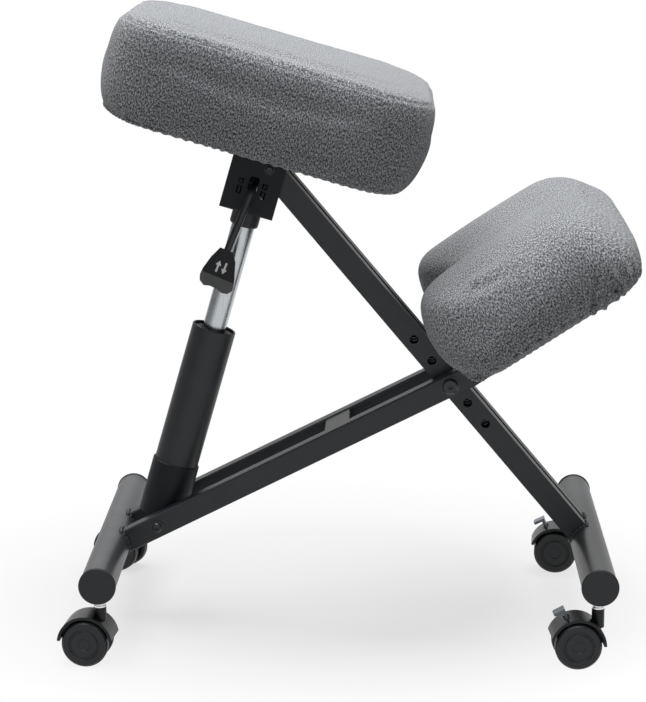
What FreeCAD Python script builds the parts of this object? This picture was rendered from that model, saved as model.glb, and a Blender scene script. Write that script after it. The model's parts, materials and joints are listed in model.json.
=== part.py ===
import FreeCAD, Part
import math
import os
import Sketcher

Vector = FreeCAD.Vector

doc = FreeCAD.newDocument("KneelingChair")
sheet = doc.addObject("Spreadsheet::Sheet", "dims")

# Driving dimensions, in millimetres and degrees
DIMENSIONS = {
    # Whole frame, seen from the side
    "origin_shift": 2.7,
    "foot_spacing": 530.0,
    "foot_height": 91.5,
    "cross_x": 110.0,
    "cross_height": 275.0,
    "knee_bar_slope": 26.4,
    "seat_beam_slope": 50.15,
    "pad_slope": 33.0,
    "lift_lean": 16.25,
    # Foot tubes and their caps
    "foot_tube_length": 394.0,
    "foot_tube_diameter": 38.0,
    "tube_wall": 2.0,
    "cap_diameter": 40.0,
    "cap_thickness": 3.0,
    "stem_spacing": 350.0,
    # Rectangular bars
    "bar_height": 25.0,
    "bar_width": 20.0,
    "bar_wall": 1.6,
    "bar_corner": 2.5,
    "knee_bar_gap": 55.0,
    "seat_beam_gap": 13.0,
    "bend_place": 24.0,
    "bent_length": 156.0,
    "lift_pivot_place": 362.3,
    "bracket_pivot_place": 307.3,
    "hole_pitch": 31.0,
    "hole_diameter": 10.0,
    "bolt_diameter": 8.0,
    "bracket_bolt_diameter": 6.0,
    "running_gap": 0.1,
    "open_pivot_gap": 1.2,
    # Gas lift
    "column_diameter": 49.0,
    "column_bore": 45.0,
    "column_top": 226.5,
    "sleeve_diameter": 52.6,
    "sleeve_top": 67.0,
    "sleeve_bottom": 3.0,
    "barrel_diameter": 24.0,
    "cylinder_diameter": 26.0,
    "cylinder_bore": 23.0,
    "cylinder_bottom": 130.0,
    "cylinder_top": 384.0,
    "rod_diameter": 10.0,
    "piston_place": 232.0,
    "collar_diameter": 32.0,
    "collar_bottom": 345.5,
    "valve_pin_top": 391.8,
    # Seat bracket, plate and cushion, measured up the lift
    "bracket_bottom": 363.0,
    "seat_bottom": 437.0,
    "bracket_left": -31.0,
    "bracket_right": 29.0,
    "bracket_sheet": 2.5,
    "bracket_inside": 55.2,
    "plate_sheet": 3.0,
    "board_thickness": 12.0,
    "seat_length": 356.0,
    "seat_width": 310.0,
    "seat_thickness": 112.0,
    "seat_centre": -10.5,
    "seat_corner": 68.0,
    "seat_board_inset": 32.0,
    # Knee pad, measured from the bend of the knee bars
    "pad_width": 424.0,
    "pad_thickness": 103.5,
    # Casters
    "wheel_diameter": 50.0,
    "wheel_thickness": 12.0,
    "wheel_gap": 14.0,
    "hood_radius": 30.0,
    "hood_top": 62.0,
    "rear_trail": 14.0,
    "front_trail": 22.5,
}

for row, (alias, value) in enumerate(DIMENSIONS.items(), start=1):
    sheet.set("A%d" % row, alias.replace("_", " "))
    sheet.set("B%d" % row, str(value))
    sheet.setAlias("B%d" % row, alias)
doc.recompute()


class Size:
    """A value together with the sheet formula that drives it."""

    def __init__(self, value, formula):
        self.value = float(value)
        self.formula = formula

    def joined(self, other, sign, value):
        return Size(value, "(%s %s %s)" % (self.formula, sign, formula_of(other)))

    def __add__(self, other):
        return self.joined(other, "+", self.value + number(other))

    def __sub__(self, other):
        return self.joined(other, "-", self.value - number(other))

    def __mul__(self, other):
        return self.joined(other, "*", self.value * number(other))

    def __truediv__(self, other):
        return self.joined(other, "/", self.value / number(other))

    def __neg__(self):
        return Size(-self.value, "(-1 * %s)" % self.formula)

    def __radd__(self, other):
        return self + other

    def __rmul__(self, other):
        return self * other

    def __rsub__(self, other):
        return -self + other


def number(size):
    return size.value if isinstance(size, Size) else float(size)


def formula_of(size):
    return size.formula if isinstance(size, Size) else repr(float(size))


def dim(alias):
    return Size(float(sheet.get(alias)), "dims." + alias)


def trig(function, angle):
    value = getattr(math, function)(math.radians(number(angle)))
    return Size(value, "%s(%s * 1 deg)" % (function, formula_of(angle)))


def bind(target, name, size):
    if isinstance(size, Size):
        target.setExpression(name, size.formula)
    else:
        setattr(target, name, size)


# Helpers for bodies, sketches and features

NODES = []


def new_body(name, place=None):
    body = doc.addObject("PartDesign::Body", name)
    body.Label = name
    body.AllowCompound = True
    if place is not None:
        body.Placement = place
    NODES.append(body)
    return body


def plane(body, role):
    return [feature for feature in body.Origin.OriginFeatures if feature.Role == role][0]


def new_sketch(body, role, offset=0.0):
    sketch = body.newObject("Sketcher::SketchObject", body.Name + "_outline")
    sketch.AttachmentSupport = [(plane(body, role), "")]
    sketch.MapMode = "FlatFace"
    if isinstance(offset, Size):
        sketch.setExpression("AttachmentOffset.Base.z", offset.formula)
    else:
        sketch.AttachmentOffset = FreeCAD.Placement(Vector(0, 0, offset), FreeCAD.Rotation())
    return sketch


def pin_down(sketch, geometry, end, x, y):
    for kind, axis, size in (("DistanceX", -2, x), ("DistanceY", -1, y)):
        value = number(size)
        if abs(value) < 1e-9:
            sketch.addConstraint(Sketcher.Constraint("PointOnObject", geometry, end, axis))
            continue
        index = sketch.addConstraint(Sketcher.Constraint(kind, -1, 1, geometry, end, value))
        if isinstance(size, Size):
            sketch.setExpression("Constraints[%d]" % index, size.formula)


def outline(sketch, points):
    first = sketch.GeometryCount
    count = len(points)
    flat = [Vector(number(x), number(y), 0) for x, y in points]
    for index in range(count):
        line = Part.LineSegment(flat[index], flat[(index + 1) % count])
        sketch.addGeometry(line, False)
    for index in range(count):
        after = first + (index + 1) % count
        sketch.addConstraint(Sketcher.Constraint("Coincident", first + index, 2, after, 1))
    for index, (x, y) in enumerate(points):
        pin_down(sketch, first + index, 1, x, y)


def circle(sketch, x, y, diameter):
    centre = Vector(number(x), number(y), 0)
    ring = Part.Circle(centre, Vector(0, 0, 1), number(diameter) / 2)
    index = sketch.addGeometry(ring, False)
    if abs(number(x)) < 1e-9 and abs(number(y)) < 1e-9:
        sketch.addConstraint(Sketcher.Constraint("Coincident", index, 3, -1, 1))
    else:
        pin_down(sketch, index, 3, x, y)
    place = sketch.addConstraint(Sketcher.Constraint("Diameter", index, number(diameter)))
    if isinstance(diameter, Size):
        sketch.setExpression("Constraints[%d]" % place, diameter.formula)


def rounded_rectangle(sketch, left, right, low, high, radius):
    x0, x1, y0, y1, r = (number(size) for size in (left, right, low, high, radius))
    centres = ((x1 - r, y1 - r), (x0 + r, y1 - r), (x0 + r, y0 + r), (x1 - r, y0 + r))
    first = sketch.GeometryCount
    arcs = []
    for turn, (x, y) in enumerate(centres):
        ring = Part.Circle(Vector(x, y, 0), Vector(0, 0, 1), r)
        arc = Part.ArcOfCircle(ring, math.pi / 2 * turn, math.pi / 2 * (turn + 1))
        arcs.append(arc)
        sketch.addGeometry(arc, False)
    for turn in range(4):
        start = arcs[turn].EndPoint
        end = arcs[(turn + 1) % 4].StartPoint
        sketch.addGeometry(Part.LineSegment(start, end), False)
    for turn in range(4):
        side = first + 4 + turn
        after = first + (turn + 1) % 4
        sketch.addConstraint(Sketcher.Constraint("Tangent", first + turn, 2, side, 1))
        sketch.addConstraint(Sketcher.Constraint("Tangent", side, 2, after, 1))
        if turn:
            sketch.addConstraint(Sketcher.Constraint("Equal", first, first + turn))
    sketch.addConstraint(Sketcher.Constraint("Horizontal", first + 4))
    sketch.addConstraint(Sketcher.Constraint("Vertical", first + 5))
    limits = (
        ("Radius", (first,), radius),
        ("DistanceY", (-1, 1, first + 4, 1), high),
        ("DistanceX", (-1, 1, first + 5, 1), left),
        ("DistanceY", (-1, 1, first + 6, 1), low),
        ("DistanceX", (-1, 1, first + 7, 1), right),
    )
    for kind, where, size in limits:
        place = sketch.addConstraint(Sketcher.Constraint(kind, *where, number(size)))
        if isinstance(size, Size):
            sketch.setExpression("Constraints[%d]" % place, size.formula)


def pad(body, sketch, length, middle=False, back=False):
    feature = body.newObject("PartDesign::Pad", body.Name + "_pad")
    feature.Profile = sketch
    if middle:
        feature.SideType = "Symmetric"
    feature.Reversed = back
    bind(feature, "Length", length)
    return feature


def pocket(body, sketch, length=None, middle=False, back=False):
    doc.recompute()
    before = body.Shape.Volume
    feature = body.newObject("PartDesign::Pocket", body.Name + "_cut")
    feature.Profile = sketch
    if middle:
        feature.SideType = "Symmetric"
    feature.Reversed = back
    if length is None:
        feature.Type = "ThroughAll"
    else:
        bind(feature, "Length", length)
    doc.recompute()
    if body.Shape.Volume >= before:
        raise ValueError("a cut in %s removes nothing" % body.Label)
    return feature


def revolve(body, role, points):
    sketch = new_sketch(body, role)
    outline(sketch, points)
    feature = body.newObject("PartDesign::Revolution", body.Name + "_turned")
    feature.Profile = sketch
    feature.ReferenceAxis = (sketch, ["V_Axis"])
    feature.Angle = 360
    return feature


def mirror(body, feature, role):
    copy = body.newObject("PartDesign::Mirrored", body.Name + "_mirrored")
    copy.Originals = [feature]
    copy.MirrorPlane = (plane(body, role), [""])
    body.Tip = copy
    return copy


def round_edges(body, radius, wanted, kind="PartDesign::Fillet"):
    doc.recompute()
    tip = body.Tip
    names = []
    for index, edge in enumerate(tip.Shape.Edges, start=1):
        if wanted(edge):
            names.append("Edge%d" % index)
    if not names:
        raise ValueError("no edge to round in %s" % body.Label)
    feature = body.newObject(kind, body.Name + "_rounded")
    feature.Base = (tip, names)
    bind(feature, "Radius" if kind.endswith("Fillet") else "Size", radius)
    return feature


def straight_along(edge, axis, least=0.0):
    if not isinstance(edge.Curve, Part.Line) or edge.Length < least:
        return False
    return abs(edge.tangentAt(edge.FirstParameter).dot(axis)) > 0.999


def ring_at(edge, radius, height, axis="y"):
    if not isinstance(edge.Curve, Part.Circle):
        return False
    level = getattr(edge.Curve.Center, axis)
    return abs(edge.Curve.Radius - number(radius)) < 0.01 and abs(level - number(height)) < 0.01


# Frames of the moving groups, worked out from the driving dimensions

def turned_frame(x, z, angle):
    turn = FreeCAD.Rotation(Vector(0, 1, 0), angle)
    return FreeCAD.Placement(Vector(x, 0, z), turn)


shift = number(dim("origin_shift"))
cross_x = number(dim("cross_x")) + shift
cross_z = number(dim("cross_height"))
foot_x = number(dim("foot_spacing")) / 2
foot_z = number(dim("foot_height"))

knee_frame = turned_frame(cross_x, cross_z, -number(dim("knee_bar_slope")))
beam_frame = turned_frame(cross_x, cross_z, number(dim("seat_beam_slope")))
bend_point = knee_frame.multVec(Vector(number(dim("bend_place")), 0, 0))
pad_frame = turned_frame(bend_point.x, bend_point.z, -number(dim("pad_slope")))
lift_pivot = knee_frame.multVec(Vector(-number(dim("lift_pivot_place")), 0, 0))
lift_frame = turned_frame(lift_pivot.x, lift_pivot.z, number(dim("lift_lean")))
rear_frame = FreeCAD.Placement(Vector(shift - foot_x, 0, foot_z), FreeCAD.Rotation())
front_frame = FreeCAD.Placement(Vector(shift + foot_x, 0, foot_z), FreeCAD.Rotation())

rear_in_knee = knee_frame.inverse().multVec(rear_frame.Base)
front_in_beam = beam_frame.inverse().multVec(front_frame.Base)
bracket_pivot = beam_frame.multVec(Vector(-number(dim("bracket_pivot_place")), 0, 0))
pivot_in_lift = lift_frame.inverse().multVec(bracket_pivot)

bolt_hole = dim("bolt_diameter") + 2 * dim("running_gap")
bracket_bolt_hole = dim("bracket_bolt_diameter") + 2 * dim("running_gap")
open_pivot_hole = dim("bracket_bolt_diameter") + 2 * dim("open_pivot_gap")
half_height = dim("bar_height") / 2
knee_inner = dim("knee_bar_gap") / 2
knee_outer = knee_inner + dim("bar_width")
beam_inner = dim("seat_beam_gap") / 2
beam_outer = beam_inner + dim("bar_width")
weld_diameter = dim("foot_tube_diameter") + 0.2


# Foot tubes with their caps and the caster stems

def foot_tube(name, frame):
    body = new_body(name, frame)
    section = new_sketch(body, "XZ_Plane")
    circle(section, 0, 0, dim("foot_tube_diameter"))
    circle(section, 0, 0, dim("foot_tube_diameter") - 2 * dim("tube_wall"))
    pad(body, section, dim("foot_tube_length"), middle=True)
    holes = new_sketch(body, "XY_Plane")
    for side in (-1, 1):
        circle(holes, 0, side * dim("stem_spacing") / 2, 11.2)
    pocket(body, holes, dim("foot_tube_diameter"))


def tube_caps(name, frame):
    end = dim("foot_tube_length") / 2
    face = end + dim("cap_thickness")
    outer = dim("cap_diameter") / 2
    spigot = dim("foot_tube_diameter") / 2 - dim("tube_wall") - 0.1
    points = (
        (0, face),
        (outer - 1, face),
        (outer, face - 1),
        (outer, end + 0.8),
        (outer - 0.8, end),
        (spigot, end),
        (spigot, end - 14),
        (spigot - 2, end - 14),
        (spigot - 2, end - 1),
        (0, end - 1),
    )
    body = new_body(name, frame)
    mirror(body, revolve(body, "XY_Plane", points), "XZ_Plane")


def caster_stems(name, frame):
    tube_bottom = -dim("foot_tube_diameter") / 2
    hood_top = dim("hood_top") - dim("foot_height")
    points = (
        (0, hood_top - 21),
        (3.6, hood_top - 21),
        (3.6, hood_top + 0.4),
        (6.5, hood_top + 0.4),
        (6.5, hood_top + 2),
        (5.6, hood_top + 2.6),
        (5.6, tube_bottom - 2.2),
        (7, tube_bottom - 2.2),
        (7, tube_bottom - 0.2),
        (5.5, tube_bottom - 0.2),
        (5.5, tube_bottom + 15),
        (4.5, tube_bottom + 16),
        (0, tube_bottom + 16),
    )
    body = new_body(name, frame)
    sketch = new_sketch(body, "XZ_Plane", dim("stem_spacing") / 2)
    outline(sketch, points)
    turned = body.newObject("PartDesign::Revolution", name + "_turned")
    turned.Profile = sketch
    turned.ReferenceAxis = (sketch, ["V_Axis"])
    turned.Angle = 360
    mirror(body, turned, "XZ_Plane")


# Knee bars, bent upwards a little past the crossing bolt, with the plate and plugs at their upper end

bend = dim("pad_slope") - dim("knee_bar_slope")
bend_cos = trig("cos", bend)
bend_sin = trig("sin", bend)
half_tan = trig("tan", bend / 2)


def bent_profile(half, start, extra):
    reach = dim("bent_length") + extra
    middle_x = dim("bend_place") + reach * bend_cos
    middle_z = reach * bend_sin
    return (
        (start, -half),
        (dim("bend_place") + half * half_tan, -half),
        (middle_x + half * bend_sin, middle_z - half * bend_cos),
        (middle_x - half * bend_sin, middle_z + half * bend_cos),
        (dim("bend_place") - half * half_tan, half),
        (start, half),
    )


def toward_camera_start(side, inner, outer):
    # A pad on the XZ plane grows toward -Y, so it starts at the greater Y of the bar
    return inner if side < 0 else -outer


def knee_bar(name, side):
    body = new_body(name, knee_frame)
    rear = rear_in_knee.x
    profile = new_sketch(body, "XZ_Plane", toward_camera_start(side, knee_inner, knee_outer))
    outline(profile, bent_profile(half_height, rear, 0))
    pad(body, profile, dim("bar_width"))
    round_edges(body, dim("bar_corner"), lambda edge: edge.Length > 60)
    wall = dim("bar_wall")
    hollow_start = toward_camera_start(side, knee_inner + wall, knee_outer - wall)
    hollow = new_sketch(body, "XZ_Plane", hollow_start)
    outline(hollow, bent_profile(half_height - wall, rear - 5, 5))
    pocket(body, hollow, dim("bar_width") - 2 * wall, back=True)
    holes = new_sketch(body, "XZ_Plane")
    circle(holes, 0, 0, bolt_hole)
    circle(holes, -dim("lift_pivot_place"), 0, bolt_hole)
    pocket(body, holes, middle=True)
    cope = new_sketch(body, "XZ_Plane")
    circle(cope, rear_in_knee.x, rear_in_knee.z, weld_diameter)
    pocket(body, cope, middle=True)


def knee_cross_plate():
    body = new_body("knee_cross_plate", knee_frame)
    profile = new_sketch(body, "XZ_Plane")
    channel = ((-150, -6), (-146, -6), (-146, 7), (-123, 7), (-123, -6), (-119, -6), (-119, 11), (-150, 11))
    outline(profile, channel)
    pad(body, profile, dim("knee_bar_gap") - 0.2, middle=True)
    round_edges(body, 2, lambda edge: straight_along(edge, Vector(0, 1, 0)) and edge.CenterOfMass.z > 10)


def knee_bar_plugs():
    body = new_body("knee_bar_plugs", pad_frame)
    middle = (knee_inner + knee_outer) / 2
    wall = dim("bar_wall") + 0.1
    features = []
    for start, length, width, height in (
        (dim("bent_length") + 0.1, 2.4, dim("bar_width"), half_height),
        (dim("bent_length") - 9.9, 10, dim("bar_width") - 2 * wall, half_height - wall),
    ):
        sketch = new_sketch(body, "YZ_Plane", start)
        rounded_rectangle(sketch, middle - width / 2, middle + width / 2, -height, height, 1.5)
        features.append(pad(body, sketch, length))
    copy = body.newObject("PartDesign::Mirrored", "knee_bar_plugs_mirrored")
    copy.Originals = features
    copy.MirrorPlane = (plane(body, "XZ_Plane"), [""])
    body.Tip = copy


KNEE_SCREWS_X = (36.0, 140.0)
KNEE_SCREWS_Y = 54.5
SCREW_HOLE = 6.4


def screw_holes(body, places_x, place_y, bottom, depth):
    holes = new_sketch(body, "XY_Plane", bottom)
    for x in places_x:
        for side in (-1, 1):
            circle(holes, x, side * place_y, SCREW_HOLE)
    pocket(body, holes, depth, back=True)


def knee_plate():
    body = new_body("knee_plate", pad_frame)
    sketch = new_sketch(body, "XY_Plane", half_height)
    rounded_rectangle(sketch, 8, 152, -knee_outer - 14, knee_outer + 14, 8)
    pad(body, sketch, dim("plate_sheet"))
    screw_holes(body, KNEE_SCREWS_X, KNEE_SCREWS_Y, half_height - 1, dim("plate_sheet") + 2)
    window = new_sketch(body, "XY_Plane", half_height - 1)
    rounded_rectangle(window, 52, 120, -18, 18, 6)
    pocket(body, window, dim("plate_sheet") + 2, back=True)


def screws(name, frame, places_x, place_y, bottom, shank):
    head_diameter = 11
    head_height = 2.6
    places = [(x, side * place_y) for x in places_x for side in (-1, 1)]
    body = new_body(name, frame)
    heads = new_sketch(body, "XY_Plane", bottom)
    for x, y in places:
        circle(heads, x, y, head_diameter)
    pad(body, heads, head_height, back=True)
    stems = new_sketch(body, "XY_Plane", bottom)
    for x, y in places:
        circle(stems, x, y, SCREW_HOLE - 0.4)
    pad(body, stems, shank)
    low_rim = number(bottom) - head_height
    round_edges(body, 1.2, lambda edge: ring_at(edge, head_diameter / 2, low_rim, "z"))


def knee_plate_screws():
    reach = dim("plate_sheet") + 8
    screws("knee_plate_screws", pad_frame, KNEE_SCREWS_X, KNEE_SCREWS_Y, half_height, reach)


# Soft forms are lofts through rounded sections

def rounded_wire(points, radii):
    edges = []
    count = len(points)
    starts = []
    ends = []
    for index, corner in enumerate(points):
        before = (points[index - 1] - corner).normalize()
        after = (points[(index + 1) % count] - corner).normalize()
        half_turn = before.getAngle(after) / 2
        reach = radii[index] / math.tan(half_turn)
        middle = corner + (before + after).normalize() * (radii[index] / math.sin(half_turn) - radii[index])
        starts.append(corner + before * reach)
        ends.append(corner + after * reach)
        edges.append(Part.Arc(starts[-1], middle, ends[-1]).toShape())
    wire = []
    for index in range(count):
        wire.append(edges[index])
        wire.append(Part.LineSegment(ends[index], starts[(index + 1) % count]).toShape())
    return Part.Wire(wire)


def fitting_radius(before, corner, after, wanted):
    back = before - corner
    onward = after - corner
    room = 0.47 * min(back.Length, onward.Length)
    return min(wanted, room * math.tan(back.getAngle(onward) / 2))


def knee_section(y, bottom, low, middle, high, front, seat_top, front_top):
    height = front_top - bottom
    corners = (
        Vector(low, y, bottom),
        Vector(front - 0.12 * height, y, bottom),
        Vector(front, y, bottom + 0.42 * height),
        Vector(front - 0.4 * height, y, front_top),
        Vector(high, y, seat_top),
        Vector(middle, y, bottom + 0.55 * (seat_top - bottom)),
    )
    radii = []
    for place, share in enumerate((0.15, 0.3, 0.34, 0.66, 0.33, 0.55)):
        after = corners[(place + 1) % len(corners)]
        radii.append(fitting_radius(corners[place - 1], corners[place], after, share * height))
    return rounded_wire(corners, radii)


def knee_cushion():
    bottom = number(half_height) + number(dim("plate_sheet")) + 0.3
    thickness = number(dim("pad_thickness"))
    half = number(dim("pad_width")) / 2
    # Share of the half width; lift of the bottom; edge on the seat side low, at mid height and high;
    # front edge; drop of the top on the seat side and in front. The middle is the valley between two lobes.
    stations = (
        (0.0, 0, 12, 18, 52, 236, 14, 12),
        (0.25, 0, 6, 1, 20, 236, 6, 6),
        (0.48, 0, 2, -9, 4, 236, 0, 3),
        (0.71, 0, 4, -9, 12, 234, 8, 8),
        (0.87, 1, 13, 5, 38, 227, 23, 22),
        (0.96, 7, 28, 25, 64, 212, 46, 40),
        (1.0, 18, 46, 43, 80, 196, 66, 60),
    )
    sections = []
    for share, lift, low, middle, high, front, seat_drop, front_drop in stations:
        top = bottom + thickness
        for side in (-1, 1) if share else (1,):
            y = side * share * half
            levels = (low, middle, high, front, top - seat_drop, top - front_drop)
            sections.append((y, knee_section(y, bottom + lift, *levels)))
    sections.sort(key=lambda pair: pair[0])
    loft = Part.makeLoft([wire for y, wire in sections], True, False)
    gap = 0.5
    recess = Part.makeBox(
        KNEE_BOARD_LENGTH + 2 * gap,
        2 * (KNEE_BOARD_HALF_WIDTH + gap),
        number(dim("board_thickness")) + 2 * gap,
        Vector(KNEE_BOARD_START - gap, -KNEE_BOARD_HALF_WIDTH - gap, bottom - gap),
    )
    feature = doc.addObject("Part::Feature", "knee_cushion")
    feature.Shape = loft.cut(recess)
    feature.Placement = pad_frame
    NODES.append(feature)


KNEE_BOARD_START = 24.0
KNEE_BOARD_LENGTH = 178.0
KNEE_BOARD_HALF_WIDTH = 168.0


def knee_board():
    body = new_body("knee_board", pad_frame)
    sketch = new_sketch(body, "XY_Plane", half_height + dim("plate_sheet"))
    half = KNEE_BOARD_HALF_WIDTH
    rounded_rectangle(sketch, KNEE_BOARD_START, KNEE_BOARD_START + KNEE_BOARD_LENGTH, -half, half, 30)
    pad(body, sketch, dim("board_thickness"))
    depth = dim("plate_sheet") + dim("board_thickness") + 1
    screw_holes(body, KNEE_SCREWS_X, KNEE_SCREWS_Y, half_height, depth)


# Seat beam pair with its row of adjusting holes

def seat_beam(name, side):
    body = new_body(name, beam_frame)
    profile = new_sketch(body, "XZ_Plane", toward_camera_start(side, beam_inner, beam_outer))
    top_end = -dim("bracket_pivot_place") - half_height + 1
    foot_end = front_in_beam.x
    low, high = -half_height, half_height
    outline(profile, ((top_end, low), (foot_end, low), (foot_end, high), (top_end, high)))
    pad(body, profile, dim("bar_width"))
    round_edges(body, 11, lambda edge: straight_along(edge, Vector(0, 1, 0)) and edge.CenterOfMass.x < 0)
    wall = dim("bar_wall")
    hollow = new_sketch(body, "XZ_Plane", toward_camera_start(side, beam_inner + wall, beam_outer - wall))
    low = half_height - wall
    outline(hollow, ((top_end - 5, -low), (foot_end + 5, -low), (foot_end + 5, low), (top_end - 5, low)))
    pocket(body, hollow, dim("bar_width") - 2 * wall, back=True)
    holes = new_sketch(body, "XZ_Plane")
    circle(holes, 0, 0, bolt_hole)
    for step in (-2, -1, 1, 2):
        circle(holes, step * dim("hole_pitch"), 0, dim("hole_diameter"))
    circle(holes, -dim("bracket_pivot_place"), 0, open_pivot_hole)
    pocket(body, holes, middle=True)
    cope = new_sketch(body, "XZ_Plane")
    circle(cope, front_in_beam.x, front_in_beam.z, weld_diameter)
    pocket(body, cope, middle=True)


def crossing_spacers():
    body = new_body("crossing_spacers", beam_frame)
    between = new_sketch(body, "XZ_Plane")
    circle(between, 0, 0, 16)
    circle(between, 0, 0, bolt_hole)
    pad(body, between, dim("seat_beam_gap") - 0.2, middle=True)
    top = new_sketch(body, "XZ_Plane")
    circle(top, -dim("bracket_pivot_place"), 0, 16)
    circle(top, -dim("bracket_pivot_place"), 0, open_pivot_hole)
    pad(body, top, dim("seat_beam_gap") - 0.2, middle=True)
    for side in (-1, 1):
        inner = beam_outer + 0.1
        thickness = 0.8
        washer = new_sketch(body, "XZ_Plane", toward_camera_start(side, inner, inner + thickness))
        circle(washer, 0, 0, 20)
        circle(washer, 0, 0, bolt_hole)
        pad(body, washer, thickness)


# Bolts run along Y; the head is on the near side

def hexagon(x, z, radius):
    corners = []
    for turn in range(6):
        angle = math.radians(60 * turn + 30)
        corners.append((x + radius * math.cos(angle), z + radius * math.sin(angle)))
    return corners


def through_bolt(name, frame, reach, shank, washer, head, head_height):
    body = new_body(name, frame)
    washer_face = reach + 1.6
    head_face = washer_face + head_height
    shank_end = reach + dim("bolt_diameter") + 1
    points = (
        (0, -head_face),
        (head - 0.4 * head_height, -head_face),
        (head, -washer_face - 0.5 * head_height),
        (head, -washer_face),
        (washer, -washer_face),
        (washer, -reach),
        (shank / 2, -reach),
        (shank / 2, shank_end),
        (0, shank_end),
    )
    revolve(body, "XY_Plane", points)
    socket = new_sketch(body, "XZ_Plane", head_face)
    outline(socket, hexagon(0, 0, 0.36 * number(shank)))
    pocket(body, socket, 0.6 * head_height)


def hex_nuts(name, frame, places, start, thread):
    body = new_body(name, frame)
    height = 0.8 * thread
    sketch = new_sketch(body, "XZ_Plane", -(start + height))
    for x, z in places:
        outline(sketch, hexagon(x, z, 0.94 * number(thread)))
        circle(sketch, x, z, thread + 0.04)
    pad(body, sketch, height)


# Gas lift, with its axis up the local Z

def lift_outer_tube():
    body = new_body("lift_outer_tube", lift_frame)
    outer = dim("column_diameter") / 2
    inner = dim("column_bore") / 2
    top = dim("column_top")
    points = (
        (inner, 14),
        (outer, 14),
        (outer, top - 0.8),
        (outer - 0.8, top),
        (inner + 0.6, top),
        (inner, top - 0.6),
    )
    revolve(body, "XZ_Plane", points)


def lift_lower_sleeve():
    body = new_body("lift_lower_sleeve", lift_frame)
    outer = dim("sleeve_diameter") / 2
    inner = dim("column_diameter") / 2 + 0.1
    points = (
        (inner, dim("sleeve_bottom")),
        (outer - 1.2, dim("sleeve_bottom")),
        (outer, dim("sleeve_bottom") + 1.2),
        (outer, dim("sleeve_top") - 1),
        (outer - 1, dim("sleeve_top")),
        (inner, dim("sleeve_top")),
    )
    revolve(body, "XZ_Plane", points)
    saddle = new_sketch(body, "XZ_Plane")
    circle(saddle, 0, 0, dim("barrel_diameter") + 0.2)
    pocket(body, saddle, middle=True)


def lift_base_plug():
    body = new_body("lift_base_plug", lift_frame)
    wide = dim("column_diameter") / 2
    narrow = dim("column_bore") / 2 - 0.1
    rod = dim("rod_diameter") / 2 + 0.05
    shoulder = 13.9
    points = (
        (0, dim("sleeve_bottom") + 1),
        (wide, dim("sleeve_bottom") + 1),
        (wide, shoulder),
        (narrow, shoulder),
        (narrow, 34),
        (narrow - 3, 37),
        (rod, 37),
        (rod, shoulder + 4),
        (0, shoulder + 4),
    )
    revolve(body, "XZ_Plane", points)
    barrel = new_sketch(body, "XZ_Plane")
    circle(barrel, 0, 0, dim("barrel_diameter"))
    pad(body, barrel, dim("knee_bar_gap") - 0.6, middle=True)
    hole = new_sketch(body, "XZ_Plane")
    circle(hole, 0, 0, bolt_hole)
    pocket(body, hole, middle=True)


def lift_guide_bush():
    body = new_body("lift_guide_bush", lift_frame)
    outer = dim("column_bore") / 2 - 0.1
    inner = dim("cylinder_diameter") / 2 + 0.07
    top = dim("column_top") - 3
    points = (
        (inner, 150),
        (outer, 150),
        (outer, top - 1),
        (outer - 1, top),
        (inner + 2, top),
        (inner, top - 3),
    )
    revolve(body, "XZ_Plane", points)


def lift_piston_rod():
    body = new_body("lift_piston_rod", lift_frame)
    radius = dim("rod_diameter") / 2
    place = dim("piston_place")
    foot = 18.4
    points = (
        (0, foot),
        (radius - 1, foot),
        (radius, foot + 1),
        (radius, place),
        (3, place),
        (3, place + 13.8),
        (0, place + 13.8),
    )
    revolve(body, "XZ_Plane", points)


def lift_piston():
    body = new_body("lift_piston", lift_frame)
    outer = dim("cylinder_bore") / 2 - 0.05
    place = dim("piston_place")
    points = (
        (3.05, place + 0.1),
        (outer, place + 0.1),
        (outer, place + 4),
        (outer - 1.5, place + 4),
        (outer - 1.5, place + 9),
        (outer, place + 9),
        (outer, place + 13),
        (3.05, place + 13),
    )
    revolve(body, "XZ_Plane", points)


def lift_cylinder():
    body = new_body("lift_cylinder", lift_frame)
    outer = dim("cylinder_diameter") / 2
    inner = dim("cylinder_bore") / 2
    rod = dim("rod_diameter") / 2 + 0.08
    bottom = dim("cylinder_bottom")
    top = dim("cylinder_top")
    taper_start = dim("collar_bottom") + 6
    points = (
        (rod, bottom),
        (outer - 1, bottom),
        (outer, bottom + 1),
        (outer, taper_start),
        (outer - 0.9, top - 1),
        (outer - 1.9, top),
        (4.1, top),
        (4.1, 366),
        (0, 366),
        (0, 358),
        (inner - 2, 358),
        (inner, 355),
        (inner, bottom + 6),
        (rod, bottom + 6),
    )
    revolve(body, "XZ_Plane", points)


def lift_collar():
    body = new_body("lift_collar", lift_frame)
    outer = dim("collar_diameter") / 2
    inner = dim("cylinder_diameter") / 2 + 0.1
    bottom = dim("collar_bottom")
    top = dim("bracket_bottom") - 0.1
    points = (
        (inner, bottom),
        (outer - 2.5, bottom),
        (outer - 0.6, bottom + 1.2),
        (outer, bottom + 3),
        (outer, top),
        (inner, top),
    )
    revolve(body, "XZ_Plane", points)


def valve_pin():
    body = new_body("valve_pin", lift_frame)
    top = dim("valve_pin_top")
    points = ((0, 371), (4, 371), (4, top - 1), (3, top), (0, top))
    revolve(body, "XZ_Plane", points)


# Folded bracket that joins the lift, the seat beams and the seat plate

LEVER_HEIGHT = 396.0
LEVER_PIN_Y = -20.0
SLOT_PLACES = (-15.0, 11.5)


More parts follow.
